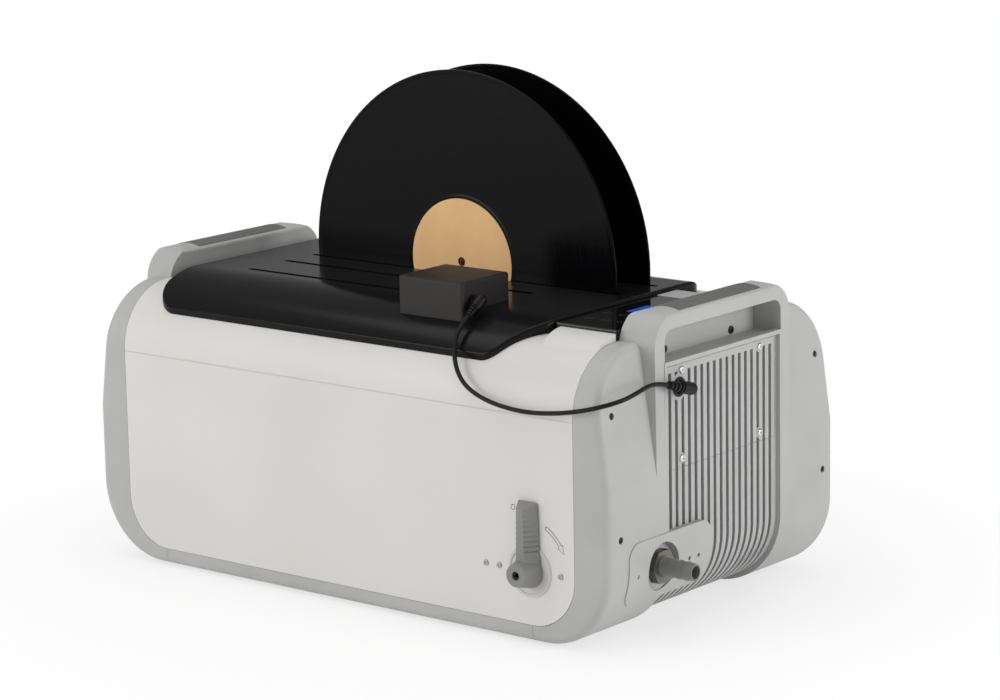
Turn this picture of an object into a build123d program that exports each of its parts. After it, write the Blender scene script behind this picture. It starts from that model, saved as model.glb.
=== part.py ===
"""Ultrasonic record cleaning machine with two long-playing records in its slots.

Frame: millimetres, +X to the right along the long front, -Y is the front,
+Z up. The origin is on the floor under the middle of the housing.
"""
from build123d import *
from math import acos, asin, atan2, cos, degrees, hypot, pi, radians, sin, sqrt, tan
import os

# ------------------------------------------------------------------ housing
foot_proud = 2.0            # how far the rubber feet hold the housing up
body_width = 512.0
body_depth = 290.0
body_height = 220.0
top_round = 50.5            # front and rear top edges, seen from the side
corner_round = 61.0         # lower left and right corners, seen from the front
rim_round = 6.0             # edge from the front or rear face to the sides
lean_height = 122.0         # above this the sides lean inwards
lean_run = 0.137            # sideways step for each millimetre of height
wall = 3.0
seam = 0.3                  # open joint between two mouldings
panel_half_width = 225.0
panel_sill = 12.5           # strip of base pan that shows under the panels
panel_corner = 39.3
crease_width = 0.8          # moulded line where the flat front ends
crease_depth = 0.5
foot_r = 11.0               # rubber pads
foot_stem_r = 3.0
foot_x = 150.0
foot_y = 110.0
panel_screw_x = (143.0, 155.5, 212.6)
panel_screw_r = 1.2
cap_screw_y = 130.0
cap_screw_h = (84.0, 174.5) # above the housing's underside
cap_screw_r = 2.6

# ---------------------------------------------------- handles on the end caps
handle_rise = 21.0          # top of the handle above the housing
handle_crown = 3.0          # the top is rounded across and this much lower at its edges
handle_inner_x = 225.5
handle_inner_half = 90.0    # half length at its inner face
handle_outer_half = 86.0    # half length at its outer face
handle_corner = 27.0
handle_edge = 2.5
handle_lean = 1.0           # how much its outer face leans in at the top
grip_wall = 4.5             # wall that closes the finger pocket inwards
grip_floor = 18.0           # pocket floor below the top of the housing
grip_bar = 13.0             # thickness of the bar over the pocket
grip_half = 74.0
grip_corner = 9.0
inlay_half = 52.0           # ribbed strip on top of the handle
inlay_margin = 3.0
inlay_thick = 1.2
inlay_proud = 0.4
inlay_rib_pitch = 4.0
inlay_groove = 1.4
grip_screw_y = (-41.0, 44.0)# in the pocket's back wall
grip_screw_r = 1.8

# ------------------------------------------------------------ louvred sides
louvre_half = 72.0          # half length of the sunken field
louvre_sink = 4.0
louvre_count = 17
louvre_pitch = 8.0
louvre_slot = 3.5
louvre_top = 7.0            # from the field's upper edge down to the slots
louvre_foot = 12.0          # slots end this high above the housing's underside
cover_split = 122.0         # upper louvre cover starts this high above the underside
cover_screw_y = 50.0
cover_screw_in = 6.5        # screws in from the cover's upper and lower edge
cover_boss_r = 3.7          # ends short of the rib beside its slot
backing_lip = 4.0           # ledge behind the cover's edge
cover_screw_r = 1.6
cover_screw_head = 3.0
jack_field_r = 7.5          # round field of the low-voltage socket

# ------------------------------------------------------------- top and tank
tank_clear = 2.7            # between the shaft's pulley and the tank's end wall
tank_half_y = 82.0
tank_floor = 68.0           # floor of the tank above the housing's underside
tank_corner = 10.0
tank_sheet = 1.2
tank_flange = 3.5
deck_half_y = 88.0
outlet_x = 138.0            # drain outlet in the tank's floor
outlet_y = -60.0
outlet_r = 4.5
pipe_r = 6.0

# ------------------------------------------------------------------- lid
lid_rise = 10.7             # flat top of the lid above the housing
lid_left = 207.0
lid_right = 168.6
lid_front = 133.5
lid_rear = 99.0
lid_flat_front = 79.0       # the apron curves down from here
lid_flat_rear = 77.0        # and towards the rear from here
lid_rear_curve = 32.0
lid_lip = 5.8               # height of the apron's front edge
lid_wall = 3.0
lid_corner = 26.0
lid_cut_x = 140.0           # the front right corner is cut off from here
lid_cut_y = 96.0            # to here on the right edge
lid_cut_round = 18.0
lid_edge = 2.4              # round along its upper edge
lid_gap = 0.3               # between the lid's rim and the housing
slot_width = 5.5
slot_left = 158.0           # common left end of the four slots

# ---------------------------------------------------------------- records
record_lift = 10.0          # record centres above the lid's flat top
record_hole = 3.6
record_body = 1.5           # thickness in the groove area
record_edge = 2.0           # thickness at rim and label
record_label_r = 50.0
label_thick = 0.3
twelve_inch_r = 151.0
ten_inch_r = 125.0
seven_inch_r = 87.5
record_front_y = 7.2
record_rear_y = 49.9
ten_slot_y = -26.0
seven_slot_y = -69.0
slot_past_twelve = 7.0      # slot ends past the record's rim
slot_past_ten = 2.0
slot_past_seven = 3.5

# ----------------------------------------------------- rollers and drive
roller_r = 9.0
roller_width = 6.0
roller_bore = 2.6
groove_depth = 0.6
roller_gap = 0.3
shaft_r = 2.5
shaft_play = 0.05
roller_drop = 67.7          # roller axes below the record centres
carrier_thick = 3.0
hanger_thick = 3.0
hanger_half = 8.0
gear_module = 1.0
pinion_teeth = 14
wheel_teeth = 48
gear_width = 4.0
pulley_r = 10.0
pulley_width = 4.0
pulley_flange = 0.7
pulley_rim = 2.0            # flange height over the belt's seat
belt_thick = 1.5
belt_width = 2.2
belt_gap = 0.3
ten_rise = 69.9             # height of a ten-inch record's centre over the rollers
seven_rise = 56.4           # and of a seven-inch record's
bearing_front = -52.0       # hangers of the long drive shaft
bearing_rear = 66.0
idle_front = -9.0           # front hanger of the short idle shaft

# ------------------------------------------------------------- motor box
box_left = 35.5
box_right = 98.0
box_front = 112.0
box_rear = 56.0
box_height = 21.8           # above the lid's flat top
box_wall = 2.5
box_round = 2.5
box_screw_in = 5.2          # screw axes in from the outside of the box
motor_r = 9.0
motor_length = 24.0
motor_axis_up = 10.0        # above the lid's flat top
motor_shaft_r = 1.5
motor_shaft_depth = 8.0
motor_jack_y = -101.0
motor_jack_up = 6.8
jack_r = 4.5
jack_bore = 2.9
jack_proud = 2.0

# ---------------------------------------------------------- control panel
control_left = 170.2
control_right = 225.0
control_front = 92.0
control_rear = -32.0
control_thick = 8.0
control_lip_rise = 5.4      # the front panel swells up to this height before it
control_lip_run = 24.0
control_lip_left = 173.0
platform_rear = -60.0
window_width = 26.0
window_length = 12.0
window_thick = 1.5
window_from_left = 24.0     # its middle, from the panel's left and rear edges
window_from_rear = 50.0

# ------------------------------------------------------------------ drain
drain_up = 53.5             # drain axis above the housing's underside
valve_x = 184.0
drain_y = -79.0
tail_tip_x = 285.0
tail_r = 6.5
tail_barb = 0.8
tail_bore = 5.0
tail_thread_r = 8.0
recess_r = 18.5
recess_floor_x = 250.0
nut_flats = 24.0
nut_height = 7.0
plate_proud = 1.0
plate_front = 121.0
plate_rear = 19.0
plate_low = 29.0
plate_high = 78.0
plate_round = 13.0
ball_r = 11.0
ball_bore = 4.8
ball_play = 0.05
valve_r = 15.5
valve_half = 22.0
stem_r = 4.0
lever_length = 52.5
lever_width = 22.0
lever_thick = 10.0
lever_ridge = 8.0           # width of the narrow front ridge
lever_ribs = 8
lever_rib_start = 17.0
lever_rib_pitch = 3.8
lever_gap = 1.5             # between the lever and the front panel
hub_r = 12.5
hub_front_r = 8.5
hub_height = 15.5
escutcheon_r = 20.0
escutcheon_proud = 1.0

# ---------------------------------------------------------------- inside
fan_size = 80.0
fan_thick = 25.0
fan_up = 142.0              # fan axis above the housing's underside
fan_blades = 7
fan_hub_r = 16.0
fan_ring_r = 38.0
fan_axle_r = 2.0
board_thick = 1.6
board_x = -182.0
board_half = 85.0
board_low = 16.0            # board edges above the housing's underside
board_high = 120.0

# ------------------------------------------------- mains inlet and switch
inlet_x = -150.0
inlet_up = 60.0             # inlet and switch above the underside
inlet_w = 27.0
inlet_h = 20.0
rocker_x = -100.0
rocker_w = 19.0
rocker_h = 13.0
rocker_tilt = 10.0

# ------------------------------------------------------------------- cord
cord_d = 3.4
plug_r = 4.75
supply_jack_y = -52.5
supply_jack_up = 182.5
supply_plug_reach = 10.0    # plug axis in front of the jack's face
motor_plug_reach = 7.2

# -------------------------------------------------- places worked out from these
base_z = foot_proud
top_z = base_z + body_height
half_w = body_width / 2
half_d = body_depth / 2
lean_z = base_z + lean_height
sill_z = base_z + panel_sill
shoulder_z = top_z - top_round
handle_z = top_z + handle_rise
pocket_z = top_z - grip_floor
grip_screw_z = pocket_z + 4
lid_z = top_z + lid_rise
record_z = lid_z + record_lift
roller_z = record_z - roller_drop
roller_reach = roller_r + roller_gap
twelve_x = sqrt((twelve_inch_r + roller_reach) ** 2 - roller_drop ** 2)
tank_half_x = twelve_x + pulley_r + pulley_rim + tank_clear
drain_z = base_z + drain_up
split_z = base_z + cover_split
louvre_z = pocket_z - 0.7
slot_top_z = louvre_z - louvre_top
belt_y = seven_slot_y - roller_width / 2 - 1.0 - pulley_width / 2
gear_y = belt_y - pulley_width / 2 - gear_width / 2 - 0.5

NODES = {}


def box(x0, x1, y0, y1, z0, z1):
    """A block between two opposite corners."""
    at = Pos((x0 + x1) / 2, (y0 + y1) / 2, (z0 + z1) / 2)
    return at * Box(abs(x1 - x0), abs(y1 - y0), abs(z1 - z0))


def rod(radius, start, end):
    """A round bar from one point to another."""
    start, end = Vector(*start), Vector(*end)
    plane = Plane(origin=start, z_dir=end - start)
    return extrude(plane * Circle(radius), (end - start).length)


def yz_prism(sketch, x0, x1):
    """A sketch in (y, z) drawn out from x0 to x1."""
    return extrude(Plane(origin=(x0, 0, 0), x_dir=(0, 1, 0), z_dir=(1, 0, 0)) * sketch, x1 - x0)


def xz_prism(sketch, y0, y1):
    """A sketch in (x, z) drawn out from y0 to y1."""
    return extrude(Plane(origin=(0, y1, 0), x_dir=(1, 0, 0), z_dir=(0, -1, 0)) * sketch, y1 - y0)


def xy_prism(sketch, z0, z1):
    """A sketch in (x, y) drawn out from z0 to z1."""
    return extrude(Pos(0, 0, z0) * sketch, z1 - z0)


def mirrored(shape):
    """The same shape on the other end of the machine."""
    return mirror(shape, about=Plane.YZ)


def outline(*points):
    return make_face(Polyline(*points, close=True))


def node(name, *solids):
    """Keep the solids of one piece, or of one set of identical fasteners."""
    kept = []
    for solid in solids:
        kept += list(solid.solids())
    NODES[name] = kept


# ------------------------------------------------------------- outer form
def side_profile(inset):
    """The housing seen from the side: both top edges are large rounds."""
    r = top_round - inset
    d, low, high = half_d - inset, base_z + inset, top_z - inset
    line = Polyline((-d, high - r), (-d, low), (d, low), (d, high - r))
    rear = CenterArc((d - r, high - r), r, 0, 90)
    top = Line((d - r, high), (-d + r, high))
    front = CenterArc((-d + r, high - r), r, 90, 90)
    return make_face([*line.edges(), rear, top, front])


def front_profile(inset):
    """The housing seen from the front: round lower corners, sides that lean in."""
    r = corner_round - inset
    w, low, high = half_w - inset, base_z + inset, top_z + 40
    lean = (high - lean_z) * lean_run
    right = CenterArc((w - r, low + r), r, -90, 90)
    left = CenterArc((-w + r, low + r), r, 180, 90)
    walls = [
        Line((-w + r, low), (w - r, low)),
        Line((w, low + r), (w, lean_z)),
        Line((w, lean_z), (w - lean, high)),
        Line((w - lean, high), (-w + lean, high)),
        Line((-w + lean, high), (-w, lean_z)),
        Line((-w, lean_z), (-w, low + r)),
    ]
    return make_face([right, left, *walls])


def body_form(inset):
    """The closed form of the housing, drawn in by an inset, its edges still sharp."""
    form = yz_prism(side_profile(inset), -half_w - 5, half_w + 5)
    return form & xz_prism(front_profile(inset), -half_d - 5, half_d + 5)


def is_sill(edge, inset):
    """True for the long lower edges at the front and at the rear."""
    middle, run = edge.position_at(0.5), edge.tangent_at(0.5)
    low = abs(middle.Z - base_z - inset) < 0.1 and abs(run.X) > 0.99
    return low and abs(abs(middle.Y) - half_d + inset) < 0.1


def end_form(inset):
    """The right end of the housing with a round edge from front to side."""
    cut_x = half_w - corner_round - 20
    form = body_form(inset) & box(cut_x, half_w + 5, -half_d - 5, half_d + 5, 0, top_z + 5)
    rim = []
    for edge in form.edges():
        middle, run = edge.position_at(0.5), edge.tangent_at(0.5)
        lengthwise = abs(run.Y) > 0.99 and middle.Z < top_z - inset - 0.5
        corner = middle.X > half_w - inset - corner_round + 0.5 and not lengthwise
        if corner or is_sill(edge, inset):
            rim.append(edge)
    return fillet(rim, rim_round - inset)


def panel_zone(gap):
    """The part of the housing that the white panels take up, seen from the front."""
    w, low = panel_half_width - gap, sill_z + gap
    shape = outline((-w, low), (w, low), (w, top_z + 40), (-w, top_z + 40))
    low_corners = shape.vertices().sort_by(Axis.Y)[:2]
    return xz_prism(fillet(low_corners, panel_corner), -half_d - 20, half_d + 20)


SHELL = body_form(0) - body_form(wall)
END = end_form(0)
END_INNER = end_form(wall)


# ---------------------------------------------------------------- panels
def front_panel():
    """White front moulding: flat below, rolled back over the top."""
    reach = box(-half_w, half_w, -half_d - 5, -deck_half_y - seam / 2, 0, top_z + 5)
    panel = SHELL & panel_zone(seam / 2) & reach
    crease = box(-half_w, half_w, -half_d - 5, -half_d + crease_depth,
                 shoulder_z - crease_width / 2, shoulder_z + crease_width / 2)
    stem_hole = rod(stem_r + 0.5, (valve_x, -half_d - 5, drain_z), (valve_x, -half_d + 10, drain_z))
    panel += control_lip()
    for x in panel_screw_x:
        panel -= rod(panel_screw_r + 0.05, (x, -half_d - 1, drain_z), (x, -half_d + 10, drain_z))
    return panel - crease - stem_hole


def control_lip():
    """The swell of the front panel that meets the edge of the control panel."""
    back, front = -control_front - seam, -control_front - control_lip_run
    foot = shoulder_z + sqrt(top_round ** 2 - (half_d - top_round + front) ** 2)
    swell = ThreePointArc((front, foot - 0.3), ((back + front) / 2 + 1, top_z + control_lip_rise * 0.63),
                          (back, top_z + control_lip_rise))
    under = Polyline((back, top_z + control_lip_rise), (back, top_z - wall / 2),
                     (front, foot - wall / 2), (front, foot - 0.3))
    lip = yz_prism(make_face([swell, *under.edges()]),
                   control_lip_left, panel_half_width - seam / 2)
    side = [e for e in lip.edges() if abs(e.position_at(0.5).X - control_lip_left) < 0.01
            and e.position_at(0.5).Z > top_z]
    return fillet(side, 2.5)


def panel_screws():
    """Three small screws beside the drain lever."""
    return [pan_screw(panel_screw_r, 2.3, 1.0, wall + 3, (x, -half_d, drain_z), (0, 1, 0))
            for x in panel_screw_x]


def rear_panel():
    """White rear moulding with the openings for the inlet and the mains switch."""
    reach = box(-half_w, half_w, deck_half_y + seam / 2, half_d + 5, 0, top_z + 5)
    panel = SHELL & panel_zone(seam / 2) & reach
    return panel - inlet_cutout() - rocker_cutout()


def base_pan():
    """Grey tray under the machine; its front and rear edges show as a strip."""
    strip = panel_half_width - panel_corner - seam / 2
    reach = box(-strip, strip, -half_d - 5, half_d + 5, 0, sill_z - seam / 2)
    pan = SHELL & reach
    pan = fillet([e for e in pan.edges() if is_sill(e, 0)], rim_round)
    pan = fillet([e for e in pan.edges() if is_sill(e, wall)], rim_round - wall)
    for x, y in foot_places():
        pan -= rod(foot_stem_r + 0.1, (x, y, 0), (x, y, base_z + wall + 1))
    for x in (-60, -40, -20, 0, 20, 40, 60):
        pan -= box(x - 3, x + 3, -30, 30, 0, base_z + wall + 1)
    return pan


def foot_places():
    return [(x, y) for x in (-foot_x, foot_x) for y in (-foot_y, foot_y)]


def feet():
    """Four rubber feet, each a tapered pad with a stem through the base pan."""
    made = []
    for x, y in foot_places():
        pad = Pos(x, y, foot_proud / 2) * Cone(foot_r - 1, foot_r, foot_proud)
        stem = rod(foot_stem_r, (x, y, base_z - 0.01), (x, y, base_z + wall + 2))
        made.append(pad + stem)
    return made


# -------------------------------------------------------------- end caps
def handle_form(inset):
    """The raised column of an end cap, whose top is the handle."""
    def arch(half, low):
        shape = outline((-half, low), (half, low), (half, handle_z - inset),
                        (-half, handle_z - inset))
        upper = shape.vertices().sort_by(Axis.Y)[-2:]
        return fillet(upper, handle_corner - inset)

    def at(x, sketch):
        return Plane(origin=(x, 0, 0), x_dir=(0, 1, 0), z_dir=(1, 0, 0)) * sketch

    low = lean_z - 20
    inner = at(handle_inner_x + inset, arch(handle_inner_half - inset, low))
    outer = at(half_w + 1, arch(handle_outer_half - inset, low))
    form = loft([inner, outer], ruled=True)
    return form & xz_prism(handle_side(inset), -half_d, half_d)


def handle_side(inset):
    """Cross-section of the column and the crowned bar on top of it."""
    low = lean_z - 20
    x_in, x_out = handle_inner_x + inset, half_w - inset
    brow = handle_z - handle_crown - inset
    crown = ThreePointArc((x_out - handle_lean, brow), ((x_in + x_out) / 2, handle_z - inset),
                          (x_in, brow))
    walls = Polyline((x_in, brow), (x_in, low), (x_out, low), (x_out, lean_z),
                     (x_out - handle_lean, brow))
    side = make_face([crown, *walls.edges()])
    corners = [v for v in side.vertices() if abs(v.Y - brow) < 0.01]
    return fillet(corners, handle_edge - min(inset, 1.5))


def under_crown(drop):
    """Everything that lies deeper than a drop under the handle's crowned top."""
    x_in, x_out, brow = handle_inner_x, half_w - handle_lean, handle_z - handle_crown
    crown = ThreePointArc((x_out, brow - drop), ((x_in + x_out) / 2, handle_z - drop),
                          (x_in, brow - drop))
    walls = Polyline((x_in, brow - drop), (x_in, brow - 20), (x_out, brow - 20), (x_out, brow - drop))
    return xz_prism(make_face([crown, *walls.edges()]), -half_d, half_d)


def louvre_zone(grow):
    """The block that holds the sunken louvre field, grown by a margin."""
    half = louvre_half + grow
    return box(half_w - corner_round - 20, half_w + 5, -half, half,
               base_z - 5, louvre_z + grow)


def cap_reach(gap):
    """Everything outside the white panels and the base pan, on the right."""
    strip = panel_half_width - panel_corner + gap
    return box(strip, half_w + 40, -half_d - 5, half_d + 5, 0, handle_z + 5) - panel_zone(-gap)


def louvre_slots():
    """The row of vertical cutters; each follows the round lower corner."""
    low = base_z + louvre_foot
    first = -(louvre_count - 1) / 2 * louvre_pitch
    return [box(half_w - corner_round, half_w + 5, first + k * louvre_pitch - louvre_slot / 2,
                first + k * louvre_pitch + louvre_slot / 2, low, slot_top_z)
            for k in range(louvre_count)]


def cover_zone(gap):
    """The opening in the end cap that the upper louvre cover fills."""
    half = louvre_half - 2 + gap
    return box(half_w - 30, half_w + 5, -half, half, split_z - gap, louvre_z - 2 + gap)


def field_form(inset):
    """Everything on the right that lies deeper than an inset under the upright side."""
    r = corner_round - inset
    w, low = half_w - inset, base_z + inset
    arc = CenterArc((w - r, low + r), r, -90, 90)
    walls = Polyline((w - r, low), (w - r - 20, low), (w - r - 20, top_z), (w, top_z), (w, low + r))
    return xz_prism(make_face([arc, *walls.edges()]), -half_d, half_d)


def field_skin(outer, inner):
    """A layer of the louvre field, between two depths under the housing's face."""
    return field_form(outer) - field_form(inner)


def cap_screw_places():
    return [(y, base_z + h) for y in (-cap_screw_y, cap_screw_y) for h in cap_screw_h]


def surface_x(z):
    """How far out the leaning side is at a height."""
    return half_w - max(0.0, z - lean_z) * lean_run


def end_cap(drain):
    """Grey end moulding: side wall, wrap-round rims, handle and louvres."""
    cap = (END - END_INNER) & cap_reach(seam / 2)
    column = handle_form(0) & box(0, half_w + 5, -half_d, half_d, lean_z - 10, handle_z + 1)
    hollow = handle_form(wall) & box(0, half_w, -half_d, half_d, 0, pocket_z - wall)
    cap = (cap + column) - hollow
    inside = END_INNER & box(0, half_w, -half_d, half_d, 0, pocket_z - wall)
    cap -= inside
    pocket = outline((-grip_half, pocket_z), (grip_half, pocket_z),
                     (grip_half, handle_z - grip_bar), (-grip_half, handle_z - grip_bar))
    pocket = fillet(pocket.vertices().sort_by(Axis.Y)[-2:], grip_corner)
    cap -= yz_prism(pocket, handle_inner_x + grip_wall, half_w + 5)
    # the sunken field: open the wall, then line it one wall thickness further in
    deep = louvre_sink + wall
    cap -= louvre_zone(0) & field_skin(-6, deep + 0.5)
    lining = field_skin(louvre_sink, deep) & louvre_zone(0.01)
    rim = (field_skin(0.2, deep) & louvre_zone(wall)) - louvre_zone(0)
    cap += (lining + rim) & cap_reach(seam / 2)
    cap -= cover_zone(seam)
    cap += field_skin(deep, deep + 2) & (cover_zone(2) - cover_zone(-backing_lip))
    back = half_w - deep
    for y, z in cover_screw_places():
        cap += rod(cover_boss_r, (back - 4, y, z), (back, y, z))
        cap -= rod(cover_screw_r + 0.05, (back - 5, y, z), (back + 1, y, z))
    for slot in louvre_slots():
        cap -= slot
    for y, z in cap_screw_places():
        cap -= rod(cap_screw_r + 0.1, (half_w - 30, y, z), (half_w + 5, y, z))
    cap -= inlay_block(0.05)
    for y in grip_screw_y:
        cap -= rod(grip_screw_r + 0.1, (handle_inner_x - 1, y, grip_screw_z),
                   (handle_inner_x + grip_wall + 1, y, grip_screw_z))
    if drain:
        cap = drain_side(cap)
    return cap


def drain_side(cap):
    """Close the louvres behind the drain plate and sink a cup for the nut."""
    blank = field_skin(louvre_sink, louvre_sink + wall) & plate_block(-1)
    cap += blank & cap_reach(seam / 2)
    cap -= rod(recess_r + 0.2, (recess_floor_x, drain_y, drain_z), (half_w + 5, drain_y, drain_z))
    cup = rod(recess_r + wall, (recess_floor_x - wall, drain_y, drain_z),
              (half_w - louvre_sink - 1, drain_y, drain_z))
    cup -= rod(recess_r + 0.2, (recess_floor_x, drain_y, drain_z), (half_w + 5, drain_y, drain_z))
    before_field = box(0, half_w, -half_d, -louvre_half - 0.5, 0, top_z)
    cap += cup & (field_form(louvre_sink) + (field_form(wall / 2) & before_field))
    return cap - rod(tail_thread_r + 0.2, (recess_floor_x - 10, drain_y, drain_z),
                     (half_w, drain_y, drain_z))


def plate_block(shrink):
    """The outline of the drain plate, drawn through the side wall."""
    y0, y1 = -plate_front - shrink, -plate_rear + shrink
    z0, z1 = base_z + plate_low - shrink, base_z + plate_high + shrink
    shape = outline((y0, z0), (y1, z0), (y1, z1), (y0, z1))
    return yz_prism(fillet(shape.vertices(), plate_round), half_w - 30, half_w + 8)


def inlay_block(gap):
    """The ribbed strip let into the top of the handle, and its pocket."""
    x0 = handle_inner_x + inlay_margin - gap
    x1 = half_w - handle_lean - inlay_margin + gap
    zone = box(x0, x1, -inlay_half - gap, inlay_half + gap, handle_z - 10, handle_z + 1)
    return zone - under_crown(inlay_thick + gap)


def handle_inlay():
    """Soft strip in the handle's top, with grooves across it."""
    strip = inlay_block(0) & under_crown(-inlay_proud)
    count = int(2 * inlay_half // inlay_rib_pitch)
    grooves = [box(handle_inner_x, half_w, y - inlay_groove / 2, y + inlay_groove / 2,
                   handle_z - 10, handle_z + 1)
               for y in (-inlay_half + (k + 0.5) * inlay_rib_pitch for k in range(count))]
    return strip - (Part() + grooves - under_crown(0))


def louvre_cover(with_jack):
    """Upper louvre grille, a separate moulding held by four screws."""
    cover = field_skin(louvre_sink, louvre_sink + wall) & cover_zone(0)
    pads = None
    for y, z in cover_screw_places():
        pad = rod(4.2, (half_w - louvre_sink - wall, y, z), (half_w - louvre_sink, y, z))
        pads = pad if pads is None else pads + pad
    if with_jack:
        z = base_z + supply_jack_up
        pads += rod(jack_field_r + 2.5, (half_w - louvre_sink - wall, supply_jack_y, z),
                    (half_w - louvre_sink, supply_jack_y, z))
    for slot in louvre_slots():
        cover -= slot
    cover = cover + (pads & cover_zone(0))
    for y, z in cover_screw_places():
        cover -= rod(cover_screw_r + 0.1, (half_w - 20, y, z), (half_w + 5, y, z))
    if with_jack:
        z = base_z + supply_jack_up
        cover -= rod(jack_field_r + 0.1, (half_w - 20, supply_jack_y, z),
                     (half_w + 5, supply_jack_y, z))
    return cover


def cover_screw_places():
    low = split_z + cover_screw_in
    high = louvre_z - cover_screw_in
    return [(y, z) for y in (-cover_screw_y, cover_screw_y) for z in (low, high)]


def pan_screw(radius, head_r, head_h, length, place, into):
    """Pan-head screw with a cross recess; the head's seat is at the place."""
    along = Vector(*into).normalized()
    seat = Vector(*place)
    plane = Plane(origin=seat, z_dir=-along)
    head = extrude(plane * Circle(head_r), head_h)
    head = fillet(head.edges().sort_by(lambda e: (e.center() - seat).dot(-along))[-1:],
                  head_h * 0.6)
    slot = plane.offset(head_h * 0.5)
    cross = extrude(slot * Rectangle(head_r * 1.1, 0.6), head_h)
    cross += extrude(slot * Rectangle(0.6, head_r * 1.1), head_h)
    shank = extrude(Plane(origin=seat, z_dir=along) * Circle(radius), length)
    return (head - cross) + shank


def machine_end(drain):
    """The pieces of one end, built on the right."""
    pieces = {"end_cap": [end_cap(drain)], "louvre_cover": [louvre_cover(drain)],
              "handle_inlay": [handle_inlay()]}
    face = half_w - louvre_sink
    pieces["cover_screws"] = [
        pan_screw(cover_screw_r, cover_screw_head, 1.8, wall + 3, (face, y, z), (-1, 0, 0))
        for y, z in cover_screw_places()]
    pieces["cap_screws"] = [
        rod(cap_screw_r, (surface_x(z) - 8, y, z), (surface_x(z) - 1.2, y, z))
        for y, z in cap_screw_places()]
    pieces["grip_screws"] = [
        pan_screw(grip_screw_r, 3.0, 1.6, grip_wall + 2,
                  (handle_inner_x + grip_wall, y, grip_screw_z), (-1, 0, 0))
        for y in grip_screw_y]
    return pieces


# -------------------------------------------------------- deck, tank, inside
def rounded_block(half_x, half_y, z0, z1, r):
    shape = Rectangle(2 * half_x, 2 * half_y)
    return xy_prism(fillet(shape.vertices(), r), z0, z1)


def top_deck():
    """Grey frame round the tank's mouth, with the raised seat behind the control panel."""
    w, y = panel_half_width - seam / 2, deck_half_y - seam / 2
    deck = box(-w, w, -y, y, top_z - wall, top_z)
    deck -= rounded_block(tank_half_x + tank_sheet + 0.3, tank_half_y + tank_sheet + 0.3,
                          top_z - wall - 1, top_z + 1, tank_corner + tank_sheet)
    raised = box(control_left, w, -control_rear + seam, -platform_rear, top_z, top_z + control_thick)
    raised = fillet(raised.edges().filter_by(Axis.X).sort_by(Axis.Z)[-1:], 2.5)
    return deck + raised


def tank():
    """Deep-drawn stainless tank with a turned-out flange."""
    floor = base_z + tank_floor
    outer = rounded_block(tank_half_x + tank_sheet, tank_half_y + tank_sheet,
                          floor - tank_sheet, top_z + tank_sheet, tank_corner + tank_sheet)
    outer = fillet(outer.edges().group_by(Axis.Z)[0], 8 + tank_sheet)
    inner = rounded_block(tank_half_x, tank_half_y, floor, top_z + 5, tank_corner)
    inner = fillet(inner.edges().group_by(Axis.Z)[0], 8)
    flange = rounded_block(tank_half_x + tank_flange, tank_half_y + tank_flange,
                           top_z, top_z + tank_sheet, tank_corner + tank_flange)
    shell = (outer + flange) - inner
    return shell - rod(outlet_r, (outlet_x, outlet_y, floor - 5), (outlet_x, outlet_y, floor + 5))


def drain_pipe():
    """Bent pipe from the tank's outlet to the valve."""
    floor = base_z + tank_floor - tank_sheet
    end_x = valve_x - valve_half
    path = FilletPolyline((outlet_x, outlet_y, floor), (outlet_x, outlet_y, drain_z),
                          (outlet_x + 14, drain_y, drain_z), (end_x, drain_y, drain_z),
                          radius=[6.2, 8.0])
    tube = sweep(Plane(origin=path @ 0, z_dir=path % 0) * Circle(pipe_r), path=path)
    bore = sweep(Plane(origin=path @ 0, z_dir=path % 0) * Circle(outlet_r), path=path)
    return tube - bore


def transducers():
    """Six ultrasonic transducers bonded under the tank."""
    top = base_z + tank_floor - tank_sheet
    made = []
    for x in (-110.0, 0.0, 90.0):
        for y in (-42.0, 42.0):
            horn = Pos(x, y, top - 10) * Cone(19, 25, 20)
            ceramic = rod(17, (x, y, top - 20), (x, y, top - 30))
            back = rod(19, (x, y, top - 30), (x, y, top - 46))
            made.append(horn + ceramic + back)
    return made


def generator_board():
    """Ultrasonic generator: an upright board with its larger components."""
    x = board_x
    made = box(x, x + board_thick, -board_half, board_half, base_z + board_low, base_z + board_high)
    made += box(x - 26, x, -60, -20, base_z + 30, base_z + 66)
    for y in (10, 34):
        made += rod(9, (x, y, base_z + 80), (x - 30, y, base_z + 80))
    made += box(x - 14, x, 0, 50, base_z + 28, base_z + 56)
    for y in (-66, 66):
        made += box(x - 2, x + board_thick + 2, y - 5, y + 5, base_z + wall, base_z + board_low + 8)
    return made


def fan_place():
    """Inner face of the louvre cover, where the fan frame is screwed on."""
    return half_w - louvre_sink - wall - 2.3


def fan_frame():
    """Square fan frame with a ring, three struts and the motor seat."""
    x1 = fan_place()
    x0 = x1 - fan_thick
    z = base_z + fan_up
    half = fan_size / 2
    shape = Rectangle(fan_size, fan_size)
    frame = yz_prism(Pos(0, z) * fillet(shape.vertices(), 4), x0, x1)
    frame -= rod(fan_ring_r, (x0 - 1, 0, z), (x1 + 1, 0, z))
    hub = rod(fan_hub_r, (x0, 0, z), (x0 + 3, 0, z))
    for k in range(3):
        a = radians(90 + 120 * k)
        strut = Plane(origin=(x0, 0, z), x_dir=(0, cos(a), sin(a)), z_dir=(1, 0, 0))
        hub += extrude(strut * Pos(fan_ring_r / 2, 0) * Rectangle(fan_ring_r + 3, 5), 3)
    frame += hub
    frame += rod(fan_axle_r, (x0, 0, z), (x0 + 14, 0, z))
    for y in (-1, 1):
        for u in (-1, 1):
            frame -= rod(2.1, (x0 - 1, y * (half - 4.5), z + u * (half - 4.5)),
                         (x1 + 1, y * (half - 4.5), z + u * (half - 4.5)))
    return frame


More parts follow.
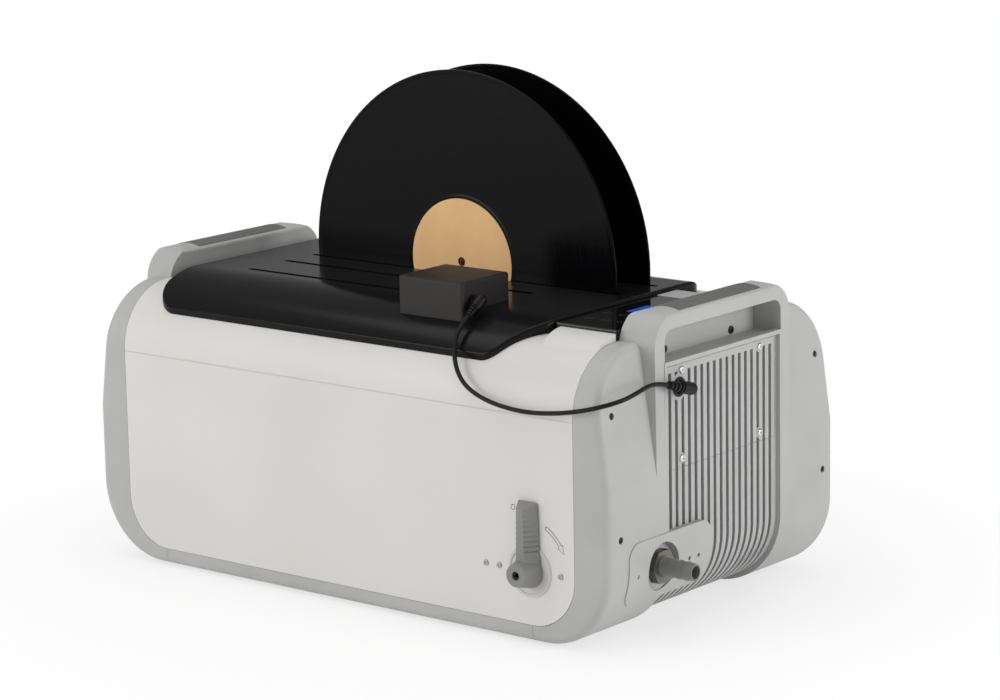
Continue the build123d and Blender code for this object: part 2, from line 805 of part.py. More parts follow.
def fan_rotor():
    """Fan hub with seven pitched blades, running on the frame's axle."""
    x0 = fan_place() - fan_thick + 4
    z = base_z + fan_up
    hub = rod(fan_hub_r, (x0, 0, z), (x0 + 18, 0, z))
    hub -= rod(fan_axle_r + 0.05, (x0 - 1, 0, z), (x0 + 10.5, 0, z))
    pitch = radians(35)
    root = Plane(origin=(x0 + 9, 0, z + fan_hub_r - 1), x_dir=(cos(pitch), sin(pitch), 0),
                 z_dir=(0, 0, 1))
    blade = extrude(root * Rectangle(15, 1.4), fan_ring_r - fan_hub_r - 0.6)
    for k in range(fan_blades):
        turn = 360 * k / fan_blades
        hub += blade.rotate(Axis((x0, 0, z), (1, 0, 0)), turn)
    return hub


# --------------------------------------------------------- rear connections


def inlet_cutout():
    z = base_z + inlet_up
    return box(inlet_x - inlet_w / 2 - 0.2, inlet_x + inlet_w / 2 + 0.2, half_d - 10, half_d + 5,
               z - inlet_h / 2 - 0.2, z + inlet_h / 2 + 0.2)


def rocker_cutout():
    z = base_z + inlet_up
    return box(rocker_x - rocker_h / 2 - 1.7, rocker_x + rocker_h / 2 + 1.7, half_d - 10, half_d + 5,
               z - rocker_w / 2 - 1.7, z + rocker_w / 2 + 1.7)


def power_inlet():
    """Three-pin appliance inlet with its flange on the rear panel."""
    z = base_z + inlet_up
    flange = box(inlet_x - inlet_w / 2 - 10, inlet_x + inlet_w / 2 + 10, half_d, half_d + 2.5,
                 z - inlet_h / 2 - 3, z + inlet_h / 2 + 3)
    flange = fillet(flange.edges().filter_by(Axis.Y), 3)
    body = box(inlet_x - inlet_w / 2, inlet_x + inlet_w / 2, half_d - 20, half_d + 1,
               z - inlet_h / 2, z + inlet_h / 2)
    cup = outline((inlet_x - 11.5, z - 7.5), (inlet_x + 11.5, z - 7.5), (inlet_x + 11.5, z + 3.5),
                  (inlet_x + 7.5, z + 7.5), (inlet_x - 7.5, z + 7.5), (inlet_x - 11.5, z + 3.5))
    cup = xz_prism(cup, half_d - 15, half_d + 5)
    made = (flange + body) - cup
    for x, dz in ((-7, -1.5), (0, 2.5), (7, -1.5)):
        made += box(inlet_x + x - 1, inlet_x + x + 1, half_d - 16, half_d - 2, z + dz - 2, z + dz + 2)
    for x in (-1, 1):
        made -= rod(1.7, (inlet_x + x * (inlet_w / 2 + 6.5), half_d - 1, z),
                    (inlet_x + x * (inlet_w / 2 + 6.5), half_d + 5, z))
    return made


def rocker_frame():
    """Bezel and body of the mains switch."""
    z = base_z + inlet_up
    w, h = rocker_h / 2, rocker_w / 2
    bezel = box(rocker_x - w - 3.5, rocker_x + w + 3.5, half_d, half_d + 2, z - h - 3.5, z + h + 3.5)
    bezel = fillet(bezel.edges().filter_by(Axis.Y), 2)
    body = box(rocker_x - w - 1.5, rocker_x + w + 1.5, half_d - 18, half_d + 1, z - h - 1.5, z + h + 1.5)
    opening = box(rocker_x - w - 0.3, rocker_x + w + 0.3, half_d - 9, half_d + 5, z - h - 0.3, z + h + 0.3)
    pins = rod(1.2, (rocker_x - w - 1, half_d - 2, z), (rocker_x - w + 1, half_d - 2, z))
    pins += rod(1.2, (rocker_x + w - 1, half_d - 2, z), (rocker_x + w + 1, half_d - 2, z))
    return (bezel + body - opening) + pins


def rocker_switch():
    """Rocker in its off position, pivoting on two pins: its lower half stands out."""
    z = base_z + inlet_up
    w, h = rocker_h / 2, rocker_w / 2
    face_half, face = h - 1.6, half_d + 2.2
    lift = tan(radians(rocker_tilt)) * face_half
    shape = outline((half_d - 4, -h + 0.6), (half_d - 4, h - 0.6), (face - lift, face_half),
                    (face + lift, -face_half))
    made = yz_prism(Pos(0, z) * shape, rocker_x - w, rocker_x + w)
    return made - rod(1.25, (rocker_x - w - 2, half_d - 2, z), (rocker_x + w + 2, half_d - 2, z))


# ----------------------------------------------------------- control panel
def control_panel():
    """Glossy black slab between the lid and the right handle."""
    slab = box(control_left, control_right, -control_front, -control_rear, top_z, top_z + control_thick)
    slab = fillet(slab.edges().filter_by(Axis.X).sort_by(Axis.Z)[-2:], 1.2)
    return slab - display_block(0.05)


def display_block(gap):
    x, y = control_left + window_from_left, -control_rear - window_from_rear
    top = top_z + control_thick
    return box(x - window_length / 2 - gap, x + window_length / 2 + gap,
               y - window_width / 2 - gap, y + window_width / 2 + gap, top - window_thick - gap, top)


def dc_jack():
    """Low-voltage socket that feeds the motor on the lid."""
    z = base_z + supply_jack_up
    face = half_w - louvre_sink
    made = rod(jack_field_r, (face - 14, supply_jack_y, z), (face + 0.6, supply_jack_y, z))
    made -= rod(jack_field_r - 2, (face - 1, supply_jack_y, z), (face + 1, supply_jack_y, z))
    return made - rod(jack_bore, (face - 11, supply_jack_y, z), (face + 2, supply_jack_y, z))


# ------------------------------------------------------------------- drain
def drain_plate():
    """Raised plate on the right side, round the hose tail."""
    skin = drain_skin(-plate_proud, louvre_sink) & plate_block(0)
    skin -= rod(recess_r, (recess_floor_x, drain_y, drain_z), (half_w + 5, drain_y, drain_z))
    for y in (-110.0, -47.0, -35.5):
        skin -= rod(1.6, (half_w - 10, y, drain_z - 1), (half_w + 5, y, drain_z - 1))
    return skin


def drain_skin(outer, inner):
    return (field_skin(outer, inner) & box(0, half_w + 5, -louvre_half + 0.2, half_d, 0, top_z)) + (
        field_skin(outer, -0.0) & box(0, half_w + 5, -half_d, -louvre_half + 0.2, 0, top_z))


def hexagon(flats):
    return RegularPolygon(flats / sqrt(3), 6)


def hose_tail():
    """Threaded drain outlet with a barbed hose tail."""
    x0, nut_x = valve_x + valve_half, recess_floor_x + nut_height + 1.0
    thread = rod(tail_thread_r, (x0, drain_y, drain_z), (nut_x, drain_y, drain_z))
    length = tail_tip_x - nut_x
    barbs = 4
    step = length / barbs
    profile = [(0, 0), (0, tail_r + tail_barb)]
    for k in range(barbs):
        profile.append(((k + 1) * step, tail_r - 0.4))
        if k < barbs - 1:
            profile.append(((k + 1) * step, tail_r + tail_barb))
    profile.append((length, 0))
    face = outline(*profile)
    at = Plane(origin=(nut_x, drain_y, drain_z), x_dir=(1, 0, 0), z_dir=(0, -1, 0))
    tail = revolve(at * face, Axis((nut_x, drain_y, drain_z), (1, 0, 0)))
    made = thread + tail
    return made - rod(tail_bore, (x0 - 1, drain_y, drain_z), (tail_tip_x + 1, drain_y, drain_z))


def tail_nut():
    plane = Plane(origin=(recess_floor_x, drain_y, drain_z), x_dir=(0, 1, 0), z_dir=(1, 0, 0))
    nut = extrude(plane * hexagon(nut_flats), nut_height)
    nut = nut & extrude(plane * Circle(nut_flats / sqrt(3) - 0.6), nut_height)
    return nut - rod(tail_thread_r + 0.05, (recess_floor_x - 1, drain_y, drain_z),
                     (recess_floor_x + nut_height + 1, drain_y, drain_z))


def valve_body():
    """Ball valve housing between the drain pipe and the hose tail."""
    x0, x1 = valve_x - valve_half, valve_x + valve_half
    body = rod(valve_r, (x0, drain_y, drain_z), (x1, drain_y, drain_z))
    body = chamfer(body.edges().filter_by(GeomType.CIRCLE), 2.0)
    gland = rod(stem_r + 4, (valve_x, drain_y - 10, drain_z), (valve_x, drain_y - 24, drain_z))
    body += gland
    body -= rod(ball_bore, (x0 - 1, drain_y, drain_z), (x1 + 1, drain_y, drain_z))
    body -= Pos(valve_x, drain_y, drain_z) * Sphere(ball_r + ball_play)
    return body - rod(stem_r + ball_play, (valve_x, drain_y - 5, drain_z),
                      (valve_x, drain_y - 30, drain_z))


def valve_stem():
    """Ball and stem in one turned piece, reaching to the lever."""
    stem = rod(stem_r, (valve_x, drain_y - ball_r + 1, drain_z),
               (valve_x, -half_d - lever_gap - 6, drain_z))
    ball = Pos(valve_x, drain_y, drain_z) * Sphere(ball_r)
    bore = rod(ball_bore, (valve_x, drain_y, drain_z - 20), (valve_x, drain_y, drain_z + 20))
    return (ball + stem) - bore


def escutcheon():
    """Shallow dished ring on the front panel behind the lever."""
    at = Plane(origin=(valve_x, -half_d, drain_z), x_dir=(1, 0, 0), z_dir=(0, -1, 0))
    ring = extrude(at * Circle(escutcheon_r), escutcheon_proud)
    ring = fillet(ring.edges().filter_by(GeomType.CIRCLE).sort_by(Axis.Y)[:1], 0.6)
    ring -= extrude(at.offset(0.4) * Circle(escutcheon_r - 2.5), 5)
    return ring - rod(stem_r + 0.5, (valve_x, -half_d - 5, drain_z), (valve_x, -half_d + 5, drain_z))


def drain_lever():
    """Lever with a coned hub and an arm whose sides slope to a narrow ridge."""
    back = -half_d - lever_gap
    at = Plane(origin=(valve_x, back, drain_z), x_dir=(1, 0, 0), z_dir=(0, -1, 0))

    def taper(half_low, half_high, length):
        return outline((-half_low, 0), (half_low, 0), (half_high, length), (-half_high, length))

    ridge = at.offset(lever_thick)
    arm = loft([at * taper(lever_width / 2, lever_width / 2 - 2.5, lever_length),
                ridge * taper(lever_ridge / 2, lever_ridge / 2 - 0.8, lever_length - 4)], ruled=True)
    arm = fillet(arm.edges().group_by(Axis.Y)[0], 1.0)
    for k in range(lever_ribs):
        z = drain_z + lever_rib_start + lever_rib_pitch * k
        for side in (-1, 1):
            arm -= rod(0.7, (valve_x + side * 3.0, back - lever_thick - 1.0, z),
                       (valve_x + side * 10.8, back + 1.0, z))
    hub = at * Cone(hub_r, hub_front_r, hub_height, align=(Align.CENTER, Align.CENTER, Align.MIN))
    lever = arm + hub
    lever -= rod(stem_r, (valve_x, back + 1, drain_z), (valve_x, back - 6, drain_z))
    return lever - rod(3.4, (valve_x, back - 7, drain_z), (valve_x, back - hub_height - 1, drain_z))


def lever_screw():
    back = -half_d - lever_gap
    head = rod(3.35, (valve_x, back - 7, drain_z), (valve_x, back - hub_height + 1.5, drain_z))
    at = Plane(origin=(valve_x, back - hub_height + 1.5, drain_z), x_dir=(1, 0, 0), z_dir=(0, -1, 0))
    return head - extrude(at.offset(-3) * hexagon(3.5), 5)


# --------------------------------------------------------------------- lid
def lid_side(inset, past=0.0):
    """The lid seen from the side: flat top, a long apron to the front, a short one behind.

    The rear end can run some way past the plan's edge, which then trims it.
    """
    drop = (lid_z - (lip_z() + lid_lip))
    run = lid_front - lid_flat_front
    r = (run * run + drop * drop) / (2 * drop)
    centre = (-lid_flat_front, lid_z - r)
    sweep_angle = degrees(asin(run / r))
    r -= inset
    start = (centre[0] - r * sin(radians(sweep_angle)), centre[1] + r * cos(radians(sweep_angle)))
    apron = CenterArc(centre, r, 90, sweep_angle)
    low = lip_z() - 12
    rear, top = lid_rear - inset + past, lid_z - inset
    tail_r = lid_rear_curve - inset
    turn = degrees(asin((rear - lid_flat_rear) / tail_r))
    tail = CenterArc((lid_flat_rear, top - tail_r), tail_r, 90, -turn)
    end_z = top - tail_r * (1 - cos(radians(turn)))
    walls = Polyline((rear, end_z), (rear, low), (start[0], low), start)
    flat = Line((centre[0], top), (lid_flat_rear, top))
    return make_face([apron, flat, tail, *walls.edges()])


def lip_z():
    """Height of the housing's curve under the lid's front edge."""
    dy = lid_front - (half_d - top_round)
    return shoulder_z + sqrt(top_round ** 2 - dy ** 2)


def lid_plan(inset):
    """The lid seen from above, with its front right corner cut off."""
    left, right = -lid_left + inset, lid_right - inset
    front, rear = -lid_front + inset, lid_rear - inset
    step = inset * 0.6
    corners = [
        (left, front, lid_corner - inset),
        (left, rear, lid_corner - inset),
        (right, rear, lid_corner * 0.7 - inset),
        (right, -lid_cut_y + step, lid_cut_round - inset),
        (lid_cut_x - step, front, lid_cut_round - inset),
    ]
    shape = outline(*[(x, y) for x, y, _ in corners])
    for x, y, radius in corners:
        corner = shape.vertices().sort_by(lambda v: hypot(v.X - x, v.Y - y))[:1]
        shape = fillet(corner, radius)
    return shape


def lid_form(inset):
    """The lid's outside drawn in by an inset; deeper than its edge round it is sharp."""
    plan = xy_prism(lid_plan(inset), 150, lid_z + 5)
    if inset >= lid_edge:
        return yz_prism(lid_side(inset, 1.5), -lid_left - 5, lid_right + 5) & plan
    form = yz_prism(lid_side(inset), -lid_left - 5, lid_right + 5) & plan
    upper = []
    for edge in form.edges():
        middle, run = edge.position_at(0.5), edge.tangent_at(0.5)
        crease = abs(run.X) > 0.99 and any(abs(middle.Y - y) < 1
                                           for y in (-lid_flat_front, lid_flat_rear))
        if middle.Z > lip_z() + lid_lip - 2 - inset and abs(run.Z) < 0.9 and not crease:
            upper.append(edge)
    return fillet(upper, lid_edge - inset)


def slot_table():
    """Each slot's place along Y, its centre and its half length."""
    rows = [(seven_slot_y, seven_inch_r, slot_past_seven), (ten_slot_y, ten_inch_r, slot_past_ten)]
    rows += [(y, twelve_inch_r, slot_past_twelve) for y in (record_front_y, record_rear_y)]
    return [(y, -slot_left + r + past, r + past) for y, r, past in rows]


def slot_cutters(width):
    cut = []
    for y, centre, half in slot_table():
        shape = Pos(centre, y) * SlotOverall(2 * half, width)
        cut.append(xy_prism(shape, roller_z, lid_z + 5))
    return cut


def wheel_place():
    """Axis of the large gear: straight under the motor, one centre distance down."""
    distance = gear_module * (pinion_teeth + wheel_teeth) / 2
    x = (box_left + box_right) / 2
    z = lid_z + motor_axis_up
    return x, z, z - distance


def lid():
    """Black lid with four record slots and the window under the motor box."""
    shell = lid_form(0) - lid_form(lid_wall)
    shell -= body_form(-lid_gap)
    for cut in slot_cutters(slot_width):
        shell -= cut
    x, motor_z, wheel_z = wheel_place()
    shell -= box(x - 20, x + 20, gear_y - 3.5, gear_y + 3.5, wheel_z, lid_z + 5)
    for y in (-box_front + 10, -box_front + 26):
        rib = box(x - 8, x + 8, y - 1.5, y + 1.5, lid_z - 12, motor_z - 2)
        rib -= rod(motor_r + 0.1, (x, y - 3, motor_z), (x, y + 3, motor_z))
        shell += rib - lid_form(lid_wall)
    for x, y in box_screw_places():
        shell -= rod(1.6, (x, y, roller_z), (x, y, lid_z + 2))
    return shell


def box_screw_places():
    return [(x, -box_rear - box_screw_in) for x in (box_left + box_screw_in, box_right - box_screw_in)]


def motor_box():
    """Motor cover: an open-bottomed moulding cut to the lid's curve."""
    top = lid_z + box_height
    outer = box(box_left, box_right, -box_front, -box_rear, lid_z - 20, top)
    outer = fillet(outer.edges().filter_by(Axis.Z), box_round)
    outer = fillet(outer.edges().group_by(Axis.Z)[-1], box_round * 0.8)
    inner = box(box_left + box_wall, box_right - box_wall, -box_front + box_wall,
                -box_rear - box_wall, lid_z - 21, top - box_wall)
    for x, y in box_screw_places():
        inner -= rod(3.5, (x, y, lid_z - 10), (x, y, top))
    shell = outer - inner
    shell -= Pos(0, 0, 0.2) * yz_prism(lid_side(0), box_left - 5, box_right + 5)
    for x, y in box_screw_places():
        shell -= rod(1.2, (x, y, lid_z - 10), (x, y, lid_z + 12))
    z = lid_z + motor_jack_up
    return shell - rod(jack_r + 0.05, (box_right - 10, motor_jack_y, z), (box_right + 5, motor_jack_y, z))


def motor_jack():
    z = lid_z + motor_jack_up
    made = rod(jack_r, (box_right - 9, motor_jack_y, z), (box_right + jack_proud, motor_jack_y, z))
    return made - rod(jack_bore, (box_right - 7, motor_jack_y, z), (box_right + 5, motor_jack_y, z))


def box_screws():
    return [pan_screw(1.15, 2.4, 1.5, 10, (x, y, lid_z - lid_wall), (0, 0, 1))
            for x, y in box_screw_places()]


# ---------------------------------------------------------- roller carriage
def roller_places():
    """Axes of the rollers in x, worked out so that each record touches both."""
    def reach(radius):
        return sqrt((radius + roller_reach) ** 2 - roller_drop ** 2)
    left = -reach(twelve_inch_r)
    ten = left + 2 * sqrt((ten_inch_r + roller_reach) ** 2 - ten_rise ** 2)
    seven = left + 2 * sqrt((seven_inch_r + roller_reach) ** 2 - seven_rise ** 2)
    return left, seven, ten, -left


def hanger(x, y):
    """A bearing plate that hangs from the carriage."""
    top = lid_z - lid_wall - carrier_thick / 2
    shape = outline((x - hanger_half, top), (x + hanger_half, top),
                    (x + hanger_half, roller_z), (x - hanger_half, roller_z))
    plate = xz_prism(shape, y - hanger_thick / 2, y + hanger_thick / 2)
    return plate + rod(hanger_half, (x, y - hanger_thick / 2, roller_z),
                       (x, y + hanger_thick / 2, roller_z))


def roller_carrier():
    """Moulded carriage under the lid that holds every shaft and pin."""
    top = lid_z - lid_wall
    left, seven, ten, right = roller_places()
    plate = box(-slot_left - 9, slot_left + 4, -tank_half_y + 3, bearing_rear + 3,
                top - carrier_thick, top)
    plate = fillet(plate.edges().filter_by(Axis.Z), 4)
    x, _, wheel_z = wheel_place()
    bores = []
    for at_x, at_y in ((left, bearing_front), (left, bearing_rear),
                       (right, idle_front), (right, bearing_rear)):
        plate += hanger(at_x, at_y)
        bores.append((at_x, at_y))
    for cut in slot_cutters(slot_width + 1):
        plate -= cut
    plate -= box(x - 26.5, x + 26.5, gear_y - 3.5, belt_y + 3.2, roller_z, lid_z)
    for at_x, at_y in bores:
        plate -= rod(shaft_r + shaft_play, (at_x, at_y - 5, roller_z), (at_x, at_y + 5, roller_z))
    for at_x, slot_y in ((seven, seven_slot_y), (ten, ten_slot_y)):
        y = slot_y + roller_width / 2 + 1.0 + hanger_thick / 2
        plate += hanger(at_x, y)
        plate += rod(shaft_r, (at_x, y, roller_z), (at_x, slot_y - roller_width / 2 - 0.3, roller_z))
    y = belt_y + pulley_width / 2 + 0.5 + hanger_thick / 2
    strap = box(x - 7, x + 7, y - hanger_thick / 2, y + hanger_thick / 2, wheel_z - 7, top)
    plate += strap
    plate += rod(shaft_r, (x, y, wheel_z), (x, gear_y - gear_width / 2 - 0.3, wheel_z))
    for sx, sy in carrier_screw_places():
        plate -= rod(1.6, (sx, sy, top - 10), (sx, sy, top + 1))
    for sx, sy in box_screw_places():
        plate -= rod(3.2, (sx, sy, top - 10), (sx, sy, top + 1))
    return plate


def carrier_screw_places():
    _, _, _, right = roller_places()
    return [(x, y) for x in (-right + 4, right - 4) for y in (-60.0, 30.0)]


def carrier_screws():
    top = lid_z - lid_wall - carrier_thick
    return [pan_screw(1.5, 2.8, 1.6, carrier_thick - 0.2, (x, y, top), (0, 0, 1))
            for x, y in carrier_screw_places()]


def grooved_roller(x, y, bore):
    """Rubber roller with a shallow groove that guides the record's rim."""
    half = roller_width / 2
    profile = outline((bore, -half), (roller_r + groove_depth, -half), (roller_r + groove_depth, -half + 1),
                      (roller_r, -1.2), (roller_r, 1.2), (roller_r + groove_depth, half - 1),
                      (roller_r + groove_depth, half), (bore, half))
    at = Plane(origin=(x, y, roller_z), x_dir=(1, 0, 0), z_dir=(0, 0, 1))
    return revolve(at * profile, Axis((x, y, roller_z), (0, 1, 0)))


def belt_pulley(x, z, bore):
    """Flanged pulley; the belt runs between the flanges."""
    half = pulley_width / 2
    made = rod(pulley_r + pulley_rim, (x, belt_y - half, z), (x, belt_y + half, z))
    groove = rod(pulley_r + 5, (x, belt_y - half + pulley_flange, z),
                 (x, belt_y + half - pulley_flange, z))
    groove -= rod(pulley_r, (x, belt_y - half, z), (x, belt_y + half, z))
    made -= groove
    return made - rod(bore, (x, belt_y - half - 1, z), (x, belt_y + half + 1, z))


def gear(teeth, x, z, phase):
    """Spur gear with involute-like flanks, drawn tooth by tooth."""
    pitch = gear_module * teeth / 2
    pressure = radians(20)
    base = pitch * cos(pressure)
    root, tip = pitch - 1.2 * gear_module, pitch + 0.9 * gear_module

    def inv(r):
        a = acos(min(1.0, base / r))
        return tan(a) - a
    half_pitch = pi / (2 * teeth) - 0.06 * gear_module / pitch
    radii = [max(root, base), pitch, tip]
    points = []
    for k in range(teeth):
        centre = phase + 2 * pi * k / teeth
        flank = [(r, half_pitch + inv(pitch) - inv(r)) for r in radii]
        points.append((root, centre - flank[0][1]))
        points += [(r, centre - a) for r, a in flank if r > root + 0.01]
        points += [(r, centre + a) for r, a in reversed(flank) if r > root + 0.01]
        points.append((root, centre + flank[0][1]))
    face = outline(*[(r * cos(a), r * sin(a)) for r, a in points])
    at = Plane(origin=(x, gear_y + gear_width / 2, z), x_dir=(1, 0, 0), z_dir=(0, -1, 0))
    return extrude(at * face, gear_width)


def drive_wheel():
    """Large gear and belt pulley moulded in one piece."""
    x, _, z = wheel_place()
    made = gear(wheel_teeth, x, z, pi / 2)
    made += rod(pulley_r - 1, (x, gear_y, z), (x, belt_y, z))
    made += belt_pulley(x, z, 1)
    return made - rod(shaft_r + shaft_play, (x, gear_y - 10, z), (x, belt_y + 10, z))


def motor_pinion():
    """Pinion with its shaft, which runs in the motor."""
    x, z, _ = wheel_place()
    pinion = gear(pinion_teeth, x, z, -pi / 2 + pi / pinion_teeth)
    back = gear_y - gear_width / 2 - 0.5 - motor_shaft_depth
    return pinion + rod(motor_shaft_r, (x, back, z), (x, gear_y + gear_width / 2 + 1, z))


def gear_motor():
    """Small motor in the box, with the bore its shaft runs in."""
    x, z, _ = wheel_place()
    y0 = gear_y - gear_width / 2 - 0.5
    can = rod(motor_r, (x, y0 - motor_length, z), (x, y0, z))
    can = chamfer(can.edges().filter_by(GeomType.CIRCLE), 0.8)
    return can - rod(motor_shaft_r + shaft_play, (x, y0 - motor_shaft_depth - 0.5, z), (x, y0 + 1, z))


def drive_belt():
    """Flat belt round the wheel's pulley and the drive shaft's pulley."""
    x0, _, z0 = wheel_place()
    x1, z1 = roller_places()[0], roller_z
    length = hypot(x1 - x0, z1 - z0)
    angle = degrees(atan2(z1 - z0, x1 - x0))
    inner = pulley_r + belt_gap
    mid = Pos((x0 + x1) / 2, (z0 + z1) / 2) * Rot(0, 0, angle)
    ring = mid * SlotCenterToCenter(length, 2 * (inner + belt_thick))
    ring -= mid * SlotCenterToCenter(length, 2 * inner)
    return xz_prism(ring, belt_y - belt_width / 2, belt_y + belt_width / 2)


def turning_parts():
    """Shafts, rollers and gears, each under its node's name."""
    left, seven, ten, right = roller_places()
    parts = {}
    front = belt_y - pulley_width / 2 - 1
    shaft = rod(shaft_r, (left, front, roller_z), (left, bearing_rear + 3, roller_z))
    parts["drive_shaft"] = [shaft]
    parts["shaft_pulley"] = [belt_pulley(left, roller_z, shaft_r + 0.02)]
    parts["drive_rollers"] = [grooved_roller(left, y, shaft_r + 0.02)
                              for y, _, _ in slot_table()]
    parts["idle_shaft"] = [rod(shaft_r, (right, idle_front - 3, roller_z),
                               (right, bearing_rear + 3, roller_z))]
    parts["idle_rollers"] = [grooved_roller(right, y, shaft_r + 0.02)
                             for y in (record_front_y, record_rear_y)]
    parts["ten_inch_roller"] = [grooved_roller(ten, ten_slot_y, shaft_r + shaft_play)]
    parts["seven_inch_roller"] = [grooved_roller(seven, seven_slot_y, shaft_r + shaft_play)]
    parts["drive_wheel"] = [drive_wheel()]
    parts["motor_pinion"] = [motor_pinion()]
    return parts


# ------------------------------------------------------------------ records
def record(y):
    """Twelve-inch record: thin groove field, thicker rim and label area."""
    h, e, r = record_body / 2, record_edge / 2, twelve_inch_r
    hub = record_label_r + 2
    profile = outline((record_hole, -e), (hub, -e), (hub + 1.5, -h), (r - 4, -h), (r - 2, -e), (r - 0.5, -e),
                      (r, -e + 0.5), (r, e - 0.5), (r - 0.5, e), (r - 2, e), (r - 4, h),
                      (hub + 1.5, h), (hub, e), (record_hole, e))
    at = Plane(origin=(0, y, record_z), x_dir=(1, 0, 0), z_dir=(0, 0, 1))
    return revolve(at * profile, Axis((0, y, record_z), (0, 1, 0)))


def labels(y):
    """Round paper label on each side of a record."""
    made = []
    for side in (-1, 1):
        start = y + side * record_edge / 2
        disc = rod(record_label_r, (0, start, record_z), (0, start + side * label_thick, record_z))
        made.append(disc - rod(record_hole, (0, y - 5, record_z), (0, y + 5, record_z)))
    return made


# --------------------------------------------------------------------- cord
def plug(jack, reach, tail_to):
    """Right-angle plug: barrel into the jack, rounded head, ribbed strain relief."""
    jack, out, tail_to = Vector(*jack), Vector(1, 0, 0), Vector(*tail_to)
    centre = jack + out * reach
    along = (tail_to - centre).normalized()
    length = (tail_to - centre).length
    barrel = rod(jack_bore - 0.15, tuple(jack - out * 6), tuple(centre))
    collar = rod(plug_r - 0.8, tuple(jack + out * (jack_proud + 0.3)), tuple(centre))
    head_end = centre - along * plug_r
    head = rod(plug_r, tuple(centre - along * 1.5), tuple(centre + along * length * 0.42))
    head += Pos(*(centre - along * 1.5)) * Sphere(plug_r)
    made = barrel + collar + head
    start = length * 0.42
    ribs = 4
    step = (length - start) / ribs
    for k in range(ribs):
        r0 = plug_r - 0.6 - k * 0.4
        a = centre + along * (start + k * step)
        b = a + along * (step * 0.6)
        made += rod(r0, tuple(a), tuple(b))
        made += rod(r0 - 0.8, tuple(a), tuple(a + along * step))
    return made


motor_plug_tail = (box_right + motor_plug_reach, -115.0, 230.5)
supply_plug_tail = (half_w - louvre_sink + supply_plug_reach, -80.0, 192.0)

cord_points = [
    motor_plug_tail,
    (105.2, -122.0, 226.0),
    (107.5, -132.5, 218.5),
    (112.5, -140.5, 208.5),
    (119.5, -146.5, 198.0),
    (130.0, -150.5, 188.5),
    (146.0, -152.0, 181.5),
    (167.0, -152.0, 177.0),
    (191.0, -152.0, 175.8),
    (216.0, -152.0, 178.5),
    (238.0, -151.5, 183.0),
    (254.0, -147.5, 187.5),
    (263.5, -136.0, 191.0),
    (265.0, -121.0, 194.0),
    (263.0, -106.0, 195.8),
    (262.0, -92.0, 195.27),
    supply_plug_tail,
]


def corner_radii(points):
    """Each corner's largest round: 0.45 of its shorter run over tan(half the turn)."""
    radii = []
    for a, b, c in zip(points, points[1:], points[2:]):
        run_in, run_out = Vector(*b) - Vector(*a), Vector(*c) - Vector(*b)
        turn = radians(run_in.get_angle(run_out))
        radii.append(0.45 * min(run_in.length, run_out.length) / tan(turn / 2))
    return radii


def cord():
    """The lead from the side socket to the motor, as runs joined by arcs."""
    radii = corner_radii(cord_points)
    path = FilletPolyline(*cord_points, radius=radii)
    tube = sweep(Plane(origin=path @ 0, z_dir=path % 0) * Circle(cord_d / 2), path=path)
    print("cord radii", [round(r, 1) for r in radii])
    print("cord length", round(path.length, 1), "volume ratio",
          round(tube.volume / (pi * (cord_d / 2) ** 2 * path.length), 4))
    return tube


# ----------------------------------------------------------------- assembly
def build():
    node("front_panel", front_panel())
    node("rear_panel", rear_panel())
    node("panel_screws", *panel_screws())
    node("base_pan", base_pan())
    node("feet", *feet())
    right, left = machine_end(True), machine_end(False)
    for name in ("end_cap", "louvre_cover", "handle_inlay"):
        node("right_" + name, *right[name])
        node("left_" + name, *[mirrored(s) for s in left[name]])
    for name in ("cover_screws", "cap_screws", "grip_screws"):
        node(name, *right[name], *[mirrored(s) for s in left[name]])
    node("top_deck", top_deck())
    node("tank", tank())
    node("transducers", *transducers())
    node("drain_pipe", drain_pipe())
    node("valve_body", valve_body())
    node("hose_tail", hose_tail())
    node("tail_nut", tail_nut())
    node("drain_plate", drain_plate())
    node("lever_escutcheon", escutcheon())
    node("control_panel", control_panel())
    node("display_window", display_block(0))
    node("generator_board", generator_board())
    node("fan_frame", fan_frame())
    node("fan_rotor", fan_rotor())
    node("power_inlet", power_inlet())
    node("rocker_frame", rocker_frame())
    node("rocker_switch", rocker_switch())
    node("dc_jack", dc_jack())
    node("drain_lever", drain_lever())
    node("lever_screw", lever_screw())
    node("valve_stem", valve_stem())
    node("lid", lid())
    node("motor_box", motor_box())
    node("motor_jack", motor_jack())
    node("box_screws", *box_screws())
    node("gear_motor", gear_motor())
    node("roller_carrier", roller_carrier())
    node("carrier_screws", *carrier_screws())
    node("drive_belt", drive_belt())
    for name, solids in turning_parts().items():
        node(name, *solids)
    node("record_front", record(record_front_y))
    node("record_rear", record(record_rear_y))
    node("label_front", *labels(record_front_y))
    node("label_rear", *labels(record_rear_y))
    jack_z = base_z + supply_jack_up
    node("supply_plug", plug((half_w - louvre_sink, supply_jack_y, jack_z), supply_plug_reach,
                             supply_plug_tail))
    node("motor_plug", plug((box_right, motor_jack_y, lid_z + motor_jack_up), motor_plug_reach,
                            motor_plug_tail))
    node("cord", cord())


def write():
    os.makedirs("parts", exist_ok=True)
    for name, solids in NODES.items():
        shape = solids[0] if len(solids) == 1 else Compound(children=solids)
        export_step(shape, f"parts/{name}.step")
    print(len(NODES), "nodes written")


build()
write()
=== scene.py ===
# %% [markdown]
# A record cleaning machine, dressed in Blender.
# The machine's solids come in as a fixed frame: real sizes, one object for each
# piece. This lesson leaves their shape alone. It gives every piece the finish of
# the real material, adds the few things that are finer than a solid can hold, and
# then sets up a plain studio and a camera.

# %% Start: bring in the machine
import bpy
from math import cos, sin, pi, radians, hypot
from mathutils import Matrix, Vector


